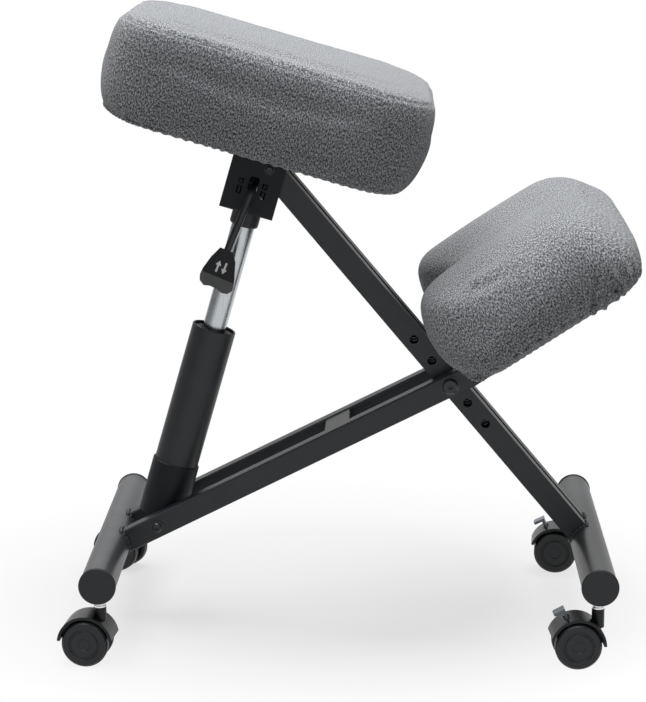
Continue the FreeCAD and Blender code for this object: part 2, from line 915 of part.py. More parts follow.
def seat_bracket():
    body = new_body("seat_bracket", lift_frame)
    half = dim("bracket_inside") / 2
    sheet_size = dim("bracket_sheet")
    low = dim("bracket_bottom")
    high = dim("seat_bottom")
    profile = new_sketch(body, "YZ_Plane", dim("bracket_left"))
    outline(profile, (
        (-half - sheet_size, low),
        (half + sheet_size, low),
        (half + sheet_size, high),
        (half, high),
        (half, low + sheet_size),
        (-half, low + sheet_size),
        (-half, high),
        (-half - sheet_size, high),
    ))
    pad(body, profile, dim("bracket_right") - dim("bracket_left"))
    along = Vector(1, 0, 0)
    bottom_level = number(low) + 0.1
    fold_level = number(low) + number(sheet_size) + 0.1
    round_edges(body, 6, lambda edge: straight_along(edge, along) and edge.CenterOfMass.z < bottom_level)
    round_edges(
        body,
        3.5,
        lambda edge: straight_along(edge, along)
        and bottom_level < edge.CenterOfMass.z < fold_level
        and abs(abs(edge.CenterOfMass.y) - number(half)) < 0.1,
    )
    pivot = new_sketch(body, "XZ_Plane")
    circle(pivot, pivot_in_lift.x, pivot_in_lift.z, bracket_bolt_hole)
    pocket(body, pivot, middle=True)
    seat_of_lift = new_sketch(body, "XY_Plane", 380)
    circle(seat_of_lift, 0, 0, dim("cylinder_diameter") + 0.1)
    pocket(body, seat_of_lift, 30)
    slots = new_sketch(body, "XZ_Plane", half + 6)
    for x in SLOT_PLACES:
        rounded_rectangle(slots, x - 3, x + 3, 394.5, 400.5, 0.8)
        rounded_rectangle(slots, x - 3, x + 3, 383.0, 392.0, 0.8)
    rounded_rectangle(slots, -6.5, 4.5, 389.0, 405.0, 3)
    pocket(body, slots, 12)


def lever_mount():
    body = new_body("lever_mount", lift_frame)
    half = dim("bracket_inside") / 2
    for x in SLOT_PLACES:
        cheek = new_sketch(body, "YZ_Plane", x - 1)
        outline(cheek, (
            (-half - 2.6, 384.0),
            (-half - 2.6, 391.0),
            (-half + 0.3, 391.0),
            (-half + 0.3, 395.5),
            (-half - 2.6, 395.5),
            (-half - 2.6, 399.5),
            (-half + 0.3, 399.5),
            (-15.5, 399.5),
            (-15.5, 384.0),
        ))
        pad(body, cheek, 2)
    pin_holes = new_sketch(body, "YZ_Plane")
    circle(pin_holes, LEVER_PIN_Y, LEVER_HEIGHT, 4.04)
    pocket(body, pin_holes, middle=True)


def lever_pin():
    body = new_body("lever_pin", lift_frame)
    sketch = new_sketch(body, "YZ_Plane", SLOT_PLACES[0] - 2.5)
    circle(sketch, LEVER_PIN_Y, LEVER_HEIGHT, 4)
    pad(body, sketch, SLOT_PLACES[1] - SLOT_PLACES[0] + 5)


LEVER_INNER = Vector(0, 6, LEVER_HEIGHT)
LEVER_CORNER = Vector(0, -46, LEVER_HEIGHT)
LEVER_TIP = Vector(-9, -58, 318)


def lever_rod():
    inward = (LEVER_INNER - LEVER_CORNER).normalize()
    downward = (LEVER_TIP - LEVER_CORNER).normalize()
    half_turn = inward.getAngle(downward) / 2
    bend_radius = 12.0
    reach = bend_radius / math.tan(half_turn)
    start = LEVER_CORNER + inward * reach
    end = LEVER_CORNER + downward * reach
    offset = bend_radius / math.sin(half_turn) - bend_radius
    middle = LEVER_CORNER + (inward + downward).normalize() * offset
    path = Part.Wire([
        Part.LineSegment(LEVER_INNER, start).toShape(),
        Part.Arc(start, middle, end).toShape(),
        Part.LineSegment(end, LEVER_TIP).toShape(),
    ])
    section = Part.Wire(Part.makeCircle(LEVER_RADIUS, LEVER_INNER, inward))
    rod = path.makePipeShell([section], True, False)
    pin_hole = Part.makeCylinder(2.1, 20, Vector(-10, LEVER_PIN_Y, LEVER_HEIGHT), Vector(1, 0, 0))
    feature = doc.addObject("Part::Feature", "lever_rod")
    feature.Shape = rod.cut(pin_hole)
    feature.Placement = lift_frame
    NODES.append(feature)


LEVER_RADIUS = 3.9


def leaning(points, slope):
    return [(x - slope * z, z) for x, z in points]


def lever_paddle():
    along_rod = (LEVER_CORNER - LEVER_TIP).normalize()
    local = FreeCAD.Placement(LEVER_TIP, FreeCAD.Rotation(Vector(0, 0, 1), along_rod))
    body = new_body("lever_paddle", lift_frame.multiply(local))
    lean = 0.155
    thickness = 10.4
    lip_thickness = 12.6
    sole = ((12.5, -3), (16, -22), (16, -30), (-22, -30), (-21, -22), (-15, -7))
    face = new_sketch(body, "XZ_Plane")
    outline(face, leaning(((-7.5, 6), (7.5, 6)) + sole, lean))
    pad(body, face, thickness, middle=True)
    lip_outline = (
        (16.3, -24),
        (16.3, -33),
        (11.5, -38),
        (5, -39),
        (-1, -37),
        (-9, -36.5),
        (-15.5, -38.5),
        (-21, -35),
        (-22.3, -29),
        (-21.3, -24),
    )
    lip = new_sketch(body, "XZ_Plane")
    outline(lip, leaning(lip_outline, lean))
    pad(body, lip, lip_thickness, middle=True)
    bore = new_sketch(body, "XY_Plane", 7)
    circle(bore, 0, 0, 2 * LEVER_RADIUS + 0.1)
    pocket(body, bore, 7.1)
    across = Vector(0, 1, 0)
    round_edges(body, 2, lambda edge: straight_along(edge, across, 12) and edge.CenterOfMass.z < -25)
    face_y = lip_thickness / 2
    round_edges(body, 0.7, lambda edge: abs(abs(edge.CenterOfMass.y) - face_y) < 0.01, "PartDesign::Chamfer")


# Seat plate, board and cushion

SEAT_SCREWS_X = (-80.0, 50.0)
SEAT_SCREWS_Y = 62.0


def seat_plate():
    body = new_body("seat_plate", lift_frame)
    sketch = new_sketch(body, "XY_Plane", dim("seat_bottom") + 0.1)
    rounded_rectangle(sketch, -95, 65, -76, 76, 10)
    pad(body, sketch, dim("plate_sheet") - 0.1)
    screw_holes(body, SEAT_SCREWS_X, SEAT_SCREWS_Y, dim("seat_bottom") - 1, dim("plate_sheet") + 2)


def seat_plate_screws():
    bottom = dim("seat_bottom")
    screws("seat_plate_screws", lift_frame, SEAT_SCREWS_X, SEAT_SCREWS_Y, bottom, dim("plate_sheet") + 9)


def seat_outline(sketch, inset_x, inset_y):
    half_length = dim("seat_length") / 2 - inset_x
    half_width = dim("seat_width") / 2 - inset_y
    centre = dim("seat_centre")
    radius = dim("seat_corner") - (inset_x + inset_y) / 2
    rounded_rectangle(sketch, centre - half_length, centre + half_length, -half_width, half_width, radius)


def seat_board():
    body = new_body("seat_board", lift_frame)
    sketch = new_sketch(body, "XY_Plane", dim("seat_bottom") + dim("plate_sheet") + 0.1)
    inset = dim("seat_board_inset")
    seat_outline(sketch, inset, inset)
    pad(body, sketch, dim("board_thickness"))
    depth = dim("plate_sheet") + dim("board_thickness") + 1
    screw_holes(body, SEAT_SCREWS_X, SEAT_SCREWS_Y, dim("seat_bottom"), depth)


def seat_cushion():
    body = new_body("seat_cushion", lift_frame)
    bottom = dim("seat_bottom") + 0.5
    # Share of the thickness and how far the ends and the sides are drawn in there
    stations = (
        (0.0, 26, 11),
        (0.06, 14, 5),
        (0.17, 6, 2),
        (0.34, 1.5, 0.5),
        (0.56, 0, 0),
        (0.82, 2, 2),
        (0.93, 8, 8),
        (0.98, 20, 19),
        (1.0, 50, 44),
    )
    sections = []
    for share, inset_x, inset_y in stations:
        sketch = new_sketch(body, "XY_Plane", bottom + share * dim("seat_thickness"))
        seat_outline(sketch, inset_x, inset_y)
        sections.append(sketch)
    loft = body.newObject("PartDesign::AdditiveLoft", "seat_cushion_loft")
    loft.Profile = sections[0]
    loft.Sections = sections[1:]
    recess = new_sketch(body, "XY_Plane", bottom - 1)
    inset = dim("seat_board_inset") - 0.6
    seat_outline(recess, inset, inset)
    pocket(body, recess, dim("plate_sheet") + dim("board_thickness") + 1, back=True)


# Casters: hood on its stem, axle, two wheels and, in front, a brake tab

HUB_HALF = 6.0
HOOD_HALF = 18.5
BRAKE_ANGLE = 112.0


def ring_sector(sketch, centre_x, centre_z, inner, outer, start, stop):
    middle = Vector(centre_x, centre_z, 0)
    first = math.radians(start)
    last = math.radians(stop)
    arcs = []
    for radius in (outer, inner):
        ring = Part.Circle(middle, Vector(0, 0, 1), radius)
        arcs.append(Part.ArcOfCircle(ring, first, last))
        sketch.addGeometry(arcs[-1], False)
    sketch.addGeometry(Part.LineSegment(arcs[0].EndPoint, arcs[1].EndPoint), False)
    sketch.addGeometry(Part.LineSegment(arcs[1].StartPoint, arcs[0].StartPoint), False)
    for one, one_end, two, two_end in ((0, 2, 2, 1), (2, 2, 1, 2), (1, 1, 3, 1), (3, 2, 0, 1)):
        sketch.addConstraint(Sketcher.Constraint("Coincident", one, one_end, two, two_end))
    sketch.addConstraint(Sketcher.Constraint("Coincident", 0, 3, 1, 3))
    pin_down(sketch, 0, 3, centre_x, centre_z)
    for index, radius in enumerate((outer, inner)):
        sketch.addConstraint(Sketcher.Constraint("Radius", index, radius))


def caster_hood(name, frame, trail, brake):
    wheel = number(dim("wheel_diameter")) / 2
    outer = number(dim("hood_radius"))
    start, stop = (0, 161) if brake else (10, 174)
    body = new_body(name, frame)
    guard = new_sketch(body, "XZ_Plane")
    ring_sector(guard, -trail, wheel, outer - 3, outer, start, stop)
    pad(body, guard, 2 * HOOD_HALF, middle=True)
    web = new_sketch(body, "XZ_Plane")
    ring_sector(web, -trail, wheel, 5, outer - 1.5, start + 1, stop - 1)
    pad(body, web, 2 * HUB_HALF, middle=True)
    hub = new_sketch(body, "XZ_Plane")
    circle(hub, -trail, wheel, 16)
    pad(body, hub, 2 * HUB_HALF, middle=True)
    boss = new_sketch(body, "XY_Plane", dim("hood_top"))
    circle(boss, 0, 0, 2 * HUB_HALF + 1.5)
    pad(body, boss, 14 if trail < 18 else 20, back=True)
    bore = new_sketch(body, "XY_Plane", dim("hood_top"))
    circle(bore, 0, 0, 7.4)
    pocket(body, bore, 21.5)
    axle_hole = new_sketch(body, "XZ_Plane")
    circle(axle_hole, -trail, wheel, 6.04)
    pocket(body, axle_hole, middle=True)
    if brake:
        slot = new_sketch(body, "XZ_Plane")
        outline(slot, brake_outline(trail, wheel, ((26.5, -3.2), (33, -3.2), (33, 3.2), (26.5, 3.2))))
        pocket(body, slot, 16, middle=True)


def brake_outline(trail, wheel, corners):
    # Each corner is a distance from the axle and a distance along the rim
    angle = math.radians(BRAKE_ANGLE)
    out = Vector(math.cos(angle), math.sin(angle), 0)
    across = Vector(-out.y, out.x, 0)
    centre = Vector(-trail, wheel, 0)
    points = [centre + out * reach + across * side for reach, side in corners]
    return [(point.x, point.y) for point in points]


def brake_tab(name, frame, trail):
    wheel = number(dim("wheel_diameter")) / 2
    body = new_body(name, frame)
    sketch = new_sketch(body, "XZ_Plane")
    corners = ((28.9, -1.6), (41.5, -1.6), (40.5, 11.5), (37.5, 11.5), (38.3, 1.6), (28.9, 1.6))
    outline(sketch, brake_outline(trail, wheel, corners))
    pad(body, sketch, 14, middle=True)
    round_edges(body, 2.5, lambda edge: edge.Length < 3.1 and abs(edge.CenterOfMass.y) > 6)


def caster_axle(name, frame, trail):
    wheel = number(dim("wheel_diameter")) / 2
    body = new_body(name, frame)
    sketch = new_sketch(body, "XZ_Plane")
    circle(sketch, -trail, wheel, 6)
    pad(body, sketch, 33, middle=True)


def caster_wheel(name, frame, trail, side):
    wheel = number(dim("wheel_diameter")) / 2
    local = FreeCAD.Placement(Vector(-trail, 0, wheel), FreeCAD.Rotation())
    body = new_body(name, frame.multiply(local))
    radius = dim("wheel_diameter") / 2
    inner = dim("wheel_gap") / 2
    outer = inner + dim("wheel_thickness")
    points = (
        (0, outer - 1.8),
        (0, outer - 1),
        (6, outer - 0.6),
        (14.6, outer - 0.6),
        (14.6, outer - 1.6),
        (15.6, outer - 1.6),
        (15.6, outer - 0.3),
        (17, outer),
        (22.6, outer),
        (radius, outer - 2.4),
        (radius, inner + 2.4),
        (22.6, inner),
        (3.06, inner),
        (3.06, outer - 1.8),
    )
    revolve(body, "XY_Plane", [(r, side * y) for r, y in points])


def caster(tag, x, y, angle, trail, brake):
    turn = FreeCAD.Rotation(Vector(0, 0, 1), angle)
    frame = FreeCAD.Placement(Vector(x, y, 0), turn)
    caster_hood("caster_hood_" + tag, frame, trail, brake)
    caster_axle("caster_axle_" + tag, frame, trail)
    caster_wheel("wheel_" + tag + "_a", frame, trail, -1)
    caster_wheel("wheel_" + tag + "_b", frame, trail, 1)
    if brake:
        brake_tab("brake_tab_" + tag, frame, trail)


# All the sub-parts

foot_tube("rear_foot_tube", rear_frame)
tube_caps("rear_tube_caps", rear_frame)
caster_stems("rear_caster_stems", rear_frame)
knee_bar("knee_bar_near", -1)
knee_bar("knee_bar_far", 1)
knee_cross_plate()
knee_bar_plugs()
knee_plate()
knee_plate_screws()
knee_board()
knee_cushion()

lift_pivot_frame = FreeCAD.Placement(lift_pivot, knee_frame.Rotation)
thick_bolt = dim("bolt_diameter")
through_bolt("crossing_bolt", knee_frame, knee_outer, thick_bolt, 11, 9, 5)
through_bolt("lift_pivot_bolt", lift_pivot_frame, knee_outer, thick_bolt, 7.5, 5.5, 3.6)
nut_places = ((0, 0), (-number(dim("lift_pivot_place")), 0))
hex_nuts("frame_nuts", knee_frame, nut_places, knee_outer + 0.05, thick_bolt)

foot_tube("front_foot_tube", front_frame)
tube_caps("front_tube_caps", front_frame)
caster_stems("front_caster_stems", front_frame)
seat_beam("seat_beam_near", -1)
seat_beam("seat_beam_far", 1)
crossing_spacers()

lift_outer_tube()
lift_lower_sleeve()
lift_base_plug()
lift_guide_bush()
lift_piston_rod()
lift_piston()

lift_cylinder()
lift_collar()
valve_pin()
seat_bracket()
bracket_reach = dim("bracket_inside") / 2 + dim("bracket_sheet")
bracket_pivot_frame = FreeCAD.Placement(bracket_pivot, lift_frame.Rotation)
thin_bolt = dim("bracket_bolt_diameter")
through_bolt("bracket_bolt", bracket_pivot_frame, bracket_reach, thin_bolt, 5.6, 4.6, 3)
hex_nuts("bracket_nut", bracket_pivot_frame, ((0, 0),), bracket_reach + 0.05, thin_bolt)
lever_mount()
lever_pin()
lever_rod()
lever_paddle()
seat_plate()
seat_plate_screws()
seat_board()
seat_cushion()

half_stems = number(dim("stem_spacing")) / 2
rear_trail = number(dim("rear_trail"))
front_trail = number(dim("front_trail"))
caster("rear_near", rear_frame.Base.x, -half_stems, -6, rear_trail, False)
caster("rear_far", rear_frame.Base.x, half_stems, -20, rear_trail, False)
caster("front_near", front_frame.Base.x, -half_stems, 4, front_trail, True)
caster("front_far", front_frame.Base.x, half_stems, -4, front_trail, True)

# Checks, then one file for each sub-part

doc.recompute()
for item in doc.Objects:
    if "Invalid" in item.State or "Error" in item.State:
        raise ValueError("%s failed: %s" % (item.Label, item.State))
whole = FreeCAD.BoundBox()
triangles = 0
for node in NODES:
    if node.Shape.isNull() or not node.Shape.isValid():
        raise ValueError("%s has no valid shape" % node.Label)
    whole.add(node.Shape.BoundBox)
    triangles += len(node.Shape.tessellate(0.3)[1])
os.makedirs("parts", exist_ok=True)
for node in NODES:
    node.Shape.exportStep("parts/%s.step" % node.Label)
print("nodes", len(NODES), "triangles at 0.3 mm", triangles)
print("box", whole)
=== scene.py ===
# Kneeling chair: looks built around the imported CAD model
import json
import math

import bpy
import numpy as np
from mathutils import Matrix, Vector
from mathutils.kdtree import KDTree


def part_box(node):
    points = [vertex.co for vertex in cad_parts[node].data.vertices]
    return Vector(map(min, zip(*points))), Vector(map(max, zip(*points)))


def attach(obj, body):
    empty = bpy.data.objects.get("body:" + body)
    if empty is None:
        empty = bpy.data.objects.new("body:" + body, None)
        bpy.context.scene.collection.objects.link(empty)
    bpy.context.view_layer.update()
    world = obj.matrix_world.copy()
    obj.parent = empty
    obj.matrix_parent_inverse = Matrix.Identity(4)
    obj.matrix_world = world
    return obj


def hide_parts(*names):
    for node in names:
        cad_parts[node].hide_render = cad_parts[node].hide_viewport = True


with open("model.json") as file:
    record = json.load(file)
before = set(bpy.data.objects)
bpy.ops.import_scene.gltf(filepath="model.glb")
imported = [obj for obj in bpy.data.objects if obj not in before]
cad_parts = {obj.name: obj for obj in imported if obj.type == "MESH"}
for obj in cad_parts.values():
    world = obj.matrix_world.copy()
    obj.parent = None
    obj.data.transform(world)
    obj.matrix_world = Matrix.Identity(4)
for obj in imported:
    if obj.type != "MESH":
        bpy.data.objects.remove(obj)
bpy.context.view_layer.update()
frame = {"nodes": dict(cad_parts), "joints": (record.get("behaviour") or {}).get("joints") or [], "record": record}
nodes = frame["nodes"]
joints = {joint["name"]: joint for joint in frame["joints"]}
print("frame loaded:", len(nodes), "nodes")


# How far each part leans towards +X, in degrees, and where the knee pad starts along its bar
lean = {"lift": 16.25, "kneeBar": -26.4, "kneePad": -33, "beam": 50.15, "padStart": 0.024}


def leaningFrame(origin, degrees):
    # A frame that leans towards +X by this angle, with its Z up the lean
    return Matrix.Translation(Vector(origin)) @ Matrix.Rotation(math.radians(degrees), 4, "Y")


crossing = Vector(joints["frame_crossing"]["pos_m"])
liftFrame = leaningFrame(joints["lift_foot"]["pos_m"], lean["lift"])
kneeBarFrame = leaningFrame(crossing, lean["kneeBar"])
padFrame = leaningFrame(kneeBarFrame @ Vector((lean["padStart"], 0, 0)), lean["kneePad"])
beamFrame = leaningFrame(crossing, lean["beam"])


def deselectAll():
    if bpy.context.object and bpy.context.object.mode != "OBJECT":
        bpy.ops.object.mode_set(mode="OBJECT")
    bpy.ops.object.select_all(action="DESELECT")


def makeActive(piece):
    deselectAll()
    piece.select_set(True)
    bpy.context.view_layer.objects.active = piece


def applyModifier(piece, kind, **settings):
    makeActive(piece)
    modifier = piece.modifiers.new(kind.title(), kind)
    for name, value in settings.items():
        setattr(modifier, name, value)
    bpy.ops.object.modifier_apply(modifier=modifier.name)


def readPoints(mesh):
    points = np.empty(len(mesh.vertices) * 3)
    mesh.vertices.foreach_get("co", points)
    return points.reshape(-1, 3)


def writePoints(mesh, points):
    mesh.vertices.foreach_set("co", points.astype(np.float32).ravel())
    mesh.update()


def readNormals(mesh):
    normals = np.empty(len(mesh.vertices) * 3)
    mesh.vertex_normals.foreach_get("vector", normals)
    return normals.reshape(-1, 3)


def smoothStep(values, low, high):
    share = np.clip((values - low) / (high - low), 0, 1)
    return share * share * (3 - 2 * share)


def addPiece(piece, name, material, body):
    piece.name = name
    piece.data.name = name
    piece.data.materials.clear()
    piece.data.materials.append(material)
    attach(piece, body)


# The camera of the product view
view = {
    "place": (0.04368, -2.74344, 0.87885),
    "turn": (78.1719, 0.2408, 1.4426),
    "lens": 129.23,
    "nearest": 0.05,
    "farthest": 60,
}


def addCamera():
    turn = [math.radians(angle) for angle in view["turn"]]
    bpy.ops.object.camera_add(location=view["place"], rotation=turn)
    camera = bpy.context.object
    camera.name = "productCamera"
    camera.data.lens = view["lens"]
    camera.data.clip_start = view["nearest"]
    camera.data.clip_end = view["farthest"]
    bpy.context.scene.camera = camera


addCamera()


# Materials
class Finish:
    def __init__(self, name):
        self.material = bpy.data.materials.new(name)
        self.material.use_nodes = True
        self.tree = self.material.node_tree
        self.shader = self.tree.nodes["Principled BSDF"]
        self.coords = self.tree.nodes.new("ShaderNodeTexCoord")

    def fix(self, values):
        for name, value in values.items():
            self.shader.inputs[name].default_value = value

    def node(self, kind, inputs=None, **settings):
        node = self.tree.nodes.new("ShaderNode" + kind)
        for name, value in settings.items():
            setattr(node, name, value)
        for name, value in (inputs or {}).items():
            if isinstance(value, bpy.types.NodeSocket):
                self.tree.links.new(value, node.inputs[name])
            else:
                node.inputs[name].default_value = value
        return node

    def noise(self, scale, detail=2.0, vector=None, roughness=0.5):
        source = vector or self.coords.outputs["Object"]
        inputs = {"Vector": source, "Scale": scale, "Detail": detail, "Roughness": roughness}
        return self.node("TexNoise", inputs).outputs["Fac"]

    def ramp(self, factor, stops):
        node = self.node("ValToRGB", {"Fac": factor})
        elements = node.color_ramp.elements
        while len(elements) < len(stops):
            elements.new(0.5)
        for element, (place, colour) in zip(elements, stops):
            element.position = place
            element.color = (*colour, 1)
        return node.outputs["Color"]

    def math(self, operation, first, second=0.0):
        return self.node("Math", {0: first, 1: second}, operation=operation).outputs[0]

    def span(self, value, low, high):
        inputs = {"Value": value, "To Min": low, "To Max": high}
        return self.node("MapRange", inputs).outputs["Result"]

    def bump(self, height, strength, distance, below=None):
        inputs = {"Height": height, "Strength": strength, "Distance": distance}
        if below is not None:
            inputs["Normal"] = below
        return self.node("Bump", inputs).outputs["Normal"]

    def link(self, output, name):
        self.tree.links.new(output, self.shader.inputs[name])


def grey(level, blue=0.0):
    return (level, level + blue * 0.4, level + blue)


coat = {"patch": 35, "flake": 1400, "flakeDepth": 0.00004, "peel": 260, "peelDepth": 0.00012}


def powderCoat(name, level, roughness, specular=0.5):
    finish = Finish(name)
    patch = finish.noise(coat["patch"], 3)
    dark, light = grey(level * 0.8, 0.0055), grey(level * 1.25, 0.007)
    finish.link(finish.ramp(patch, [(0.35, dark), (0.65, light)]), "Base Color")
    fine = finish.noise(coat["flake"], 1)
    finish.link(finish.span(fine, roughness - 0.06, roughness + 0.08), "Roughness")
    peel = finish.noise(coat["peel"], 2)
    soft = finish.bump(peel, 0.25, coat["peelDepth"])
    finish.link(finish.bump(fine, 0.2, coat["flakeDepth"], soft), "Normal")
    finish.fix({"Specular IOR Level": specular})
    return finish.material


moulding = {"patch": 60, "grainDepth": 0.00005}


def plastic(name, level, roughness, grain=2200, tint=0.004, specular=0.5):
    finish = Finish(name)
    finish.fix({"Specular IOR Level": specular})
    patch = finish.noise(moulding["patch"], 2)
    stops = [(0.3, grey(level * 0.85, tint)), (0.7, grey(level * 1.15, tint))]
    finish.link(finish.ramp(patch, stops), "Base Color")
    fine = finish.noise(grain, 2)
    finish.link(finish.span(fine, roughness - 0.05, roughness + 0.07), "Roughness")
    finish.link(finish.bump(fine, 0.35, moulding["grainDepth"]), "Normal")
    return finish.material


def metal(name, colour, roughness, stretch=(1, 1, 1), scale=900, depth=0.00002):
    finish = Finish(name)
    # The brushing follows the lift's lean
    inputs = {"Vector": finish.coords.outputs["Object"], "Scale": stretch}
    turned = finish.node("Mapping", inputs)
    turned.inputs["Rotation"].default_value = (0, -math.radians(lean["lift"]), 0)
    brushed = finish.noise(scale, 3, turned.outputs["Vector"])
    light = [min(1, part * 1.08) for part in colour]
    dark = [part * 0.9 for part in colour]
    finish.link(finish.ramp(brushed, [(0.3, dark), (0.7, light)]), "Base Color")
    finish.link(finish.span(brushed, roughness - 0.07, roughness + 0.08), "Roughness")
    finish.link(finish.bump(brushed, 0.25, depth), "Normal")
    finish.fix({"Metallic": 1.0})
    return finish.material


plywood = {
    "stretch": (4, 60, 30),
    "lines": 6,
    "lineDepth": 0.0002,
    "dark": (0.30, 0.19, 0.10),
    "middle": (0.46, 0.32, 0.19),
    "light": (0.55, 0.41, 0.26),
}


def wood(name):
    finish = Finish(name)
    grain = {"Vector": finish.coords.outputs["Object"], "Scale": plywood["stretch"]}
    along = finish.node("Mapping", grain).outputs["Vector"]
    lines = finish.noise(plywood["lines"], 6, along, 0.6)
    stops = [(0.3, plywood["dark"]), (0.55, plywood["middle"]), (0.75, plywood["light"])]
    finish.link(finish.ramp(lines, stops), "Base Color")
    finish.link(finish.bump(lines, 0.3, plywood["lineDepth"]), "Normal")
    finish.fix({"Roughness": 0.75})
    return finish.material


knit = {
    "wale": 0.0017,
    "course": 0.0013,
    "dark": 0.022,
    "middle": 0.152,
    "light": 0.53,
    "loopDepth": 0.0005,
    "slant": 1.1,
    "fleck": 740,
    "fleckShare": 0.7,
    "fleckDepth": 0.0005,
    "fibre": 1500,
    "fibreShare": 0.3,
    "patch": 22,
}


def knitCover(name):
    # Loops stand in columns over the piece's own map, which is in metres
    finish = Finish(name)
    parts = finish.node("SeparateXYZ", {"Vector": finish.coords.outputs["UV"]})
    column = finish.math("MULTIPLY", parts.outputs["X"], 1 / knit["wale"])
    row = finish.math("MULTIPLY", parts.outputs["Y"], 1 / knit["course"])
    arms = finish.math("PINGPONG", column, 0.5)
    phase = finish.math("ADD", row, finish.math("MULTIPLY", arms, knit["slant"]))
    wave = finish.math("SINE", finish.math("MULTIPLY", phase, 2 * math.pi))
    groove = finish.math("SINE", finish.math("MULTIPLY", arms, 2 * math.pi))
    loops = finish.math("ADD", finish.math("MULTIPLY", wave, 0.5), groove)

    long = {"Vector": finish.coords.outputs["UV"], "Scale": (1, 0.5, 1)}
    flecked = finish.node("Mapping", long).outputs["Vector"]
    fleck = finish.noise(knit["fleck"], 3, flecked, 0.75)
    fibre = finish.noise(knit["fibre"], 1, flecked)
    coarsePart = finish.math("MULTIPLY", fleck, knit["fleckShare"])
    finePart = finish.math("MULTIPLY", fibre, knit["fibreShare"])
    mixed = finish.math("ADD", coarsePart, finePart)
    stops = [
        (0.42, grey(knit["dark"], 0.006)),
        (0.5, grey(knit["middle"], 0.02)),
        (0.58, grey(knit["light"], 0.035)),
    ]
    yarn = finish.ramp(mixed, stops)
    shade = finish.span(finish.noise(knit["patch"], 2), 0.9, 1.1)
    tone = finish.node("Mix", {"Factor": 1.0}, data_type="RGBA", blend_type="MULTIPLY")
    finish.tree.links.new(yarn, tone.inputs[6])
    finish.tree.links.new(shade, tone.inputs[7])
    finish.link(tone.outputs[2], "Base Color")
    stitched = finish.bump(loops, 0.5, knit["loopDepth"])
    finish.link(finish.bump(fleck, 0.35, knit["fleckDepth"], stitched), "Normal")
    finish.fix({"Roughness": 0.95, "Specular IOR Level": 0.2})
    finish.fix({"Sheen Weight": 0.25, "Sheen Roughness": 0.5})
    return finish.material


cylinderBrushing = {"stretch": (1, 1, 0.02), "scale": 500, "depth": 0.000004}
finishes = {
    "frame_powder_coat": powderCoat("satinBlackCoat", 0.0095, 0.42, specular=0.45),
    "foot_powder_coat": powderCoat("satinGreyCoat", 0.034, 0.38),
    "knit_cover": knitCover("heatherKnit"),
    "board": wood("plywood"),
    "end_cap": plastic("capPlastic", 0.014, 0.5, specular=0.4),
    "cylinder_steel": metal("satinCylinder", (0.5, 0.53, 0.55), 0.24, **cylinderBrushing),
    "lift_plastic": plastic("liftPlastic", 0.012, 0.5),
    "stem_chrome": metal("polishedStem", (0.75, 0.75, 0.76), 0.14),
    "dark_fastener": powderCoat("blackOxide", 0.012, 0.34),
    "lever_steel": powderCoat("leverCoat", 0.01, 0.38),
    "paddle_plastic": plastic("paddlePlastic", 0.006, 0.42, specular=0.25),
    "brake_metal": plastic("brakeTabGrey", 0.16, 0.4, tint=0.05),
    "hood_plastic": plastic("hoodPlastic", 0.005, 0.32, grain=1200, specular=0.3),
    "wheel_plastic": plastic("wheelPlastic", 0.006, 0.42, specular=0.3),
}
for subpart in frame["record"]["subparts"]:
    mesh = nodes[subpart["node"]].data
    mesh.materials.clear()
    mesh.materials.append(finishes[subpart["material_slot"]])
    for polygon in mesh.polygons:
        polygon.material_index = 0
# Painted shade: the bracket, the lever mount and the lower sleeve get a darker, rougher copy of the black frame
# coat, standing in for the shadow under the seat
paintedShadeCoat = powderCoat("bracketPaintedShadeCoat", 0.005, 0.5, specular=0.24)
for name in ("seat_bracket", "lever_mount", "lift_lower_sleeve"):
    nodes[name].data.materials[0] = paintedShadeCoat
print("materials:", len(finishes))


# Cushions
seatPad = {
    "node": "seat_cushion",
    "body": "seat_unit",
    "voxel": 0.0044,
    "shrink": 0.0008,
    "pressure": 4.0,
    "cap": 0.0035,
    "fill": 0.7,
    "stapleHeight": 0.004,
    "rimBand": 0.03,
    "underside": 0.4385,
    "turnIn": 0.042,
    "seamHeight": 0.541,
    "seamDepth": 0.0013,
    "seamBand": 0.003,
    "seamWidth": 0.0016,
    "lipHeight": 0.3,
    "lipPlace": 0.005,
    "lipWidth": 0.003,
    "gatherPitch": 0.011,
    "gatherDepth": 0.0008,
    "gatherReach": 0.012,
}
kneePad = {
    "node": "knee_cushion",
    "body": "knee_frame",
    "voxel": 0.0044,
    "shrink": 0.0008,
    "pressure": 4.0,
    "cap": 0.0035,
    "fill": 0.6,
    "stapleHeight": 0.004,
    "rimBand": 0.045,
    "rimMiddle": 0.125,
    "underside": 0.0143,
    "gatherPitch": 0.013,
    "gatherDepth": 0.002,
    "gatherReach": 0.02,
    "cornerHeight": 0.032,
    "cornerLength": 0.09,
    "cornerDraw": 0.009,
}
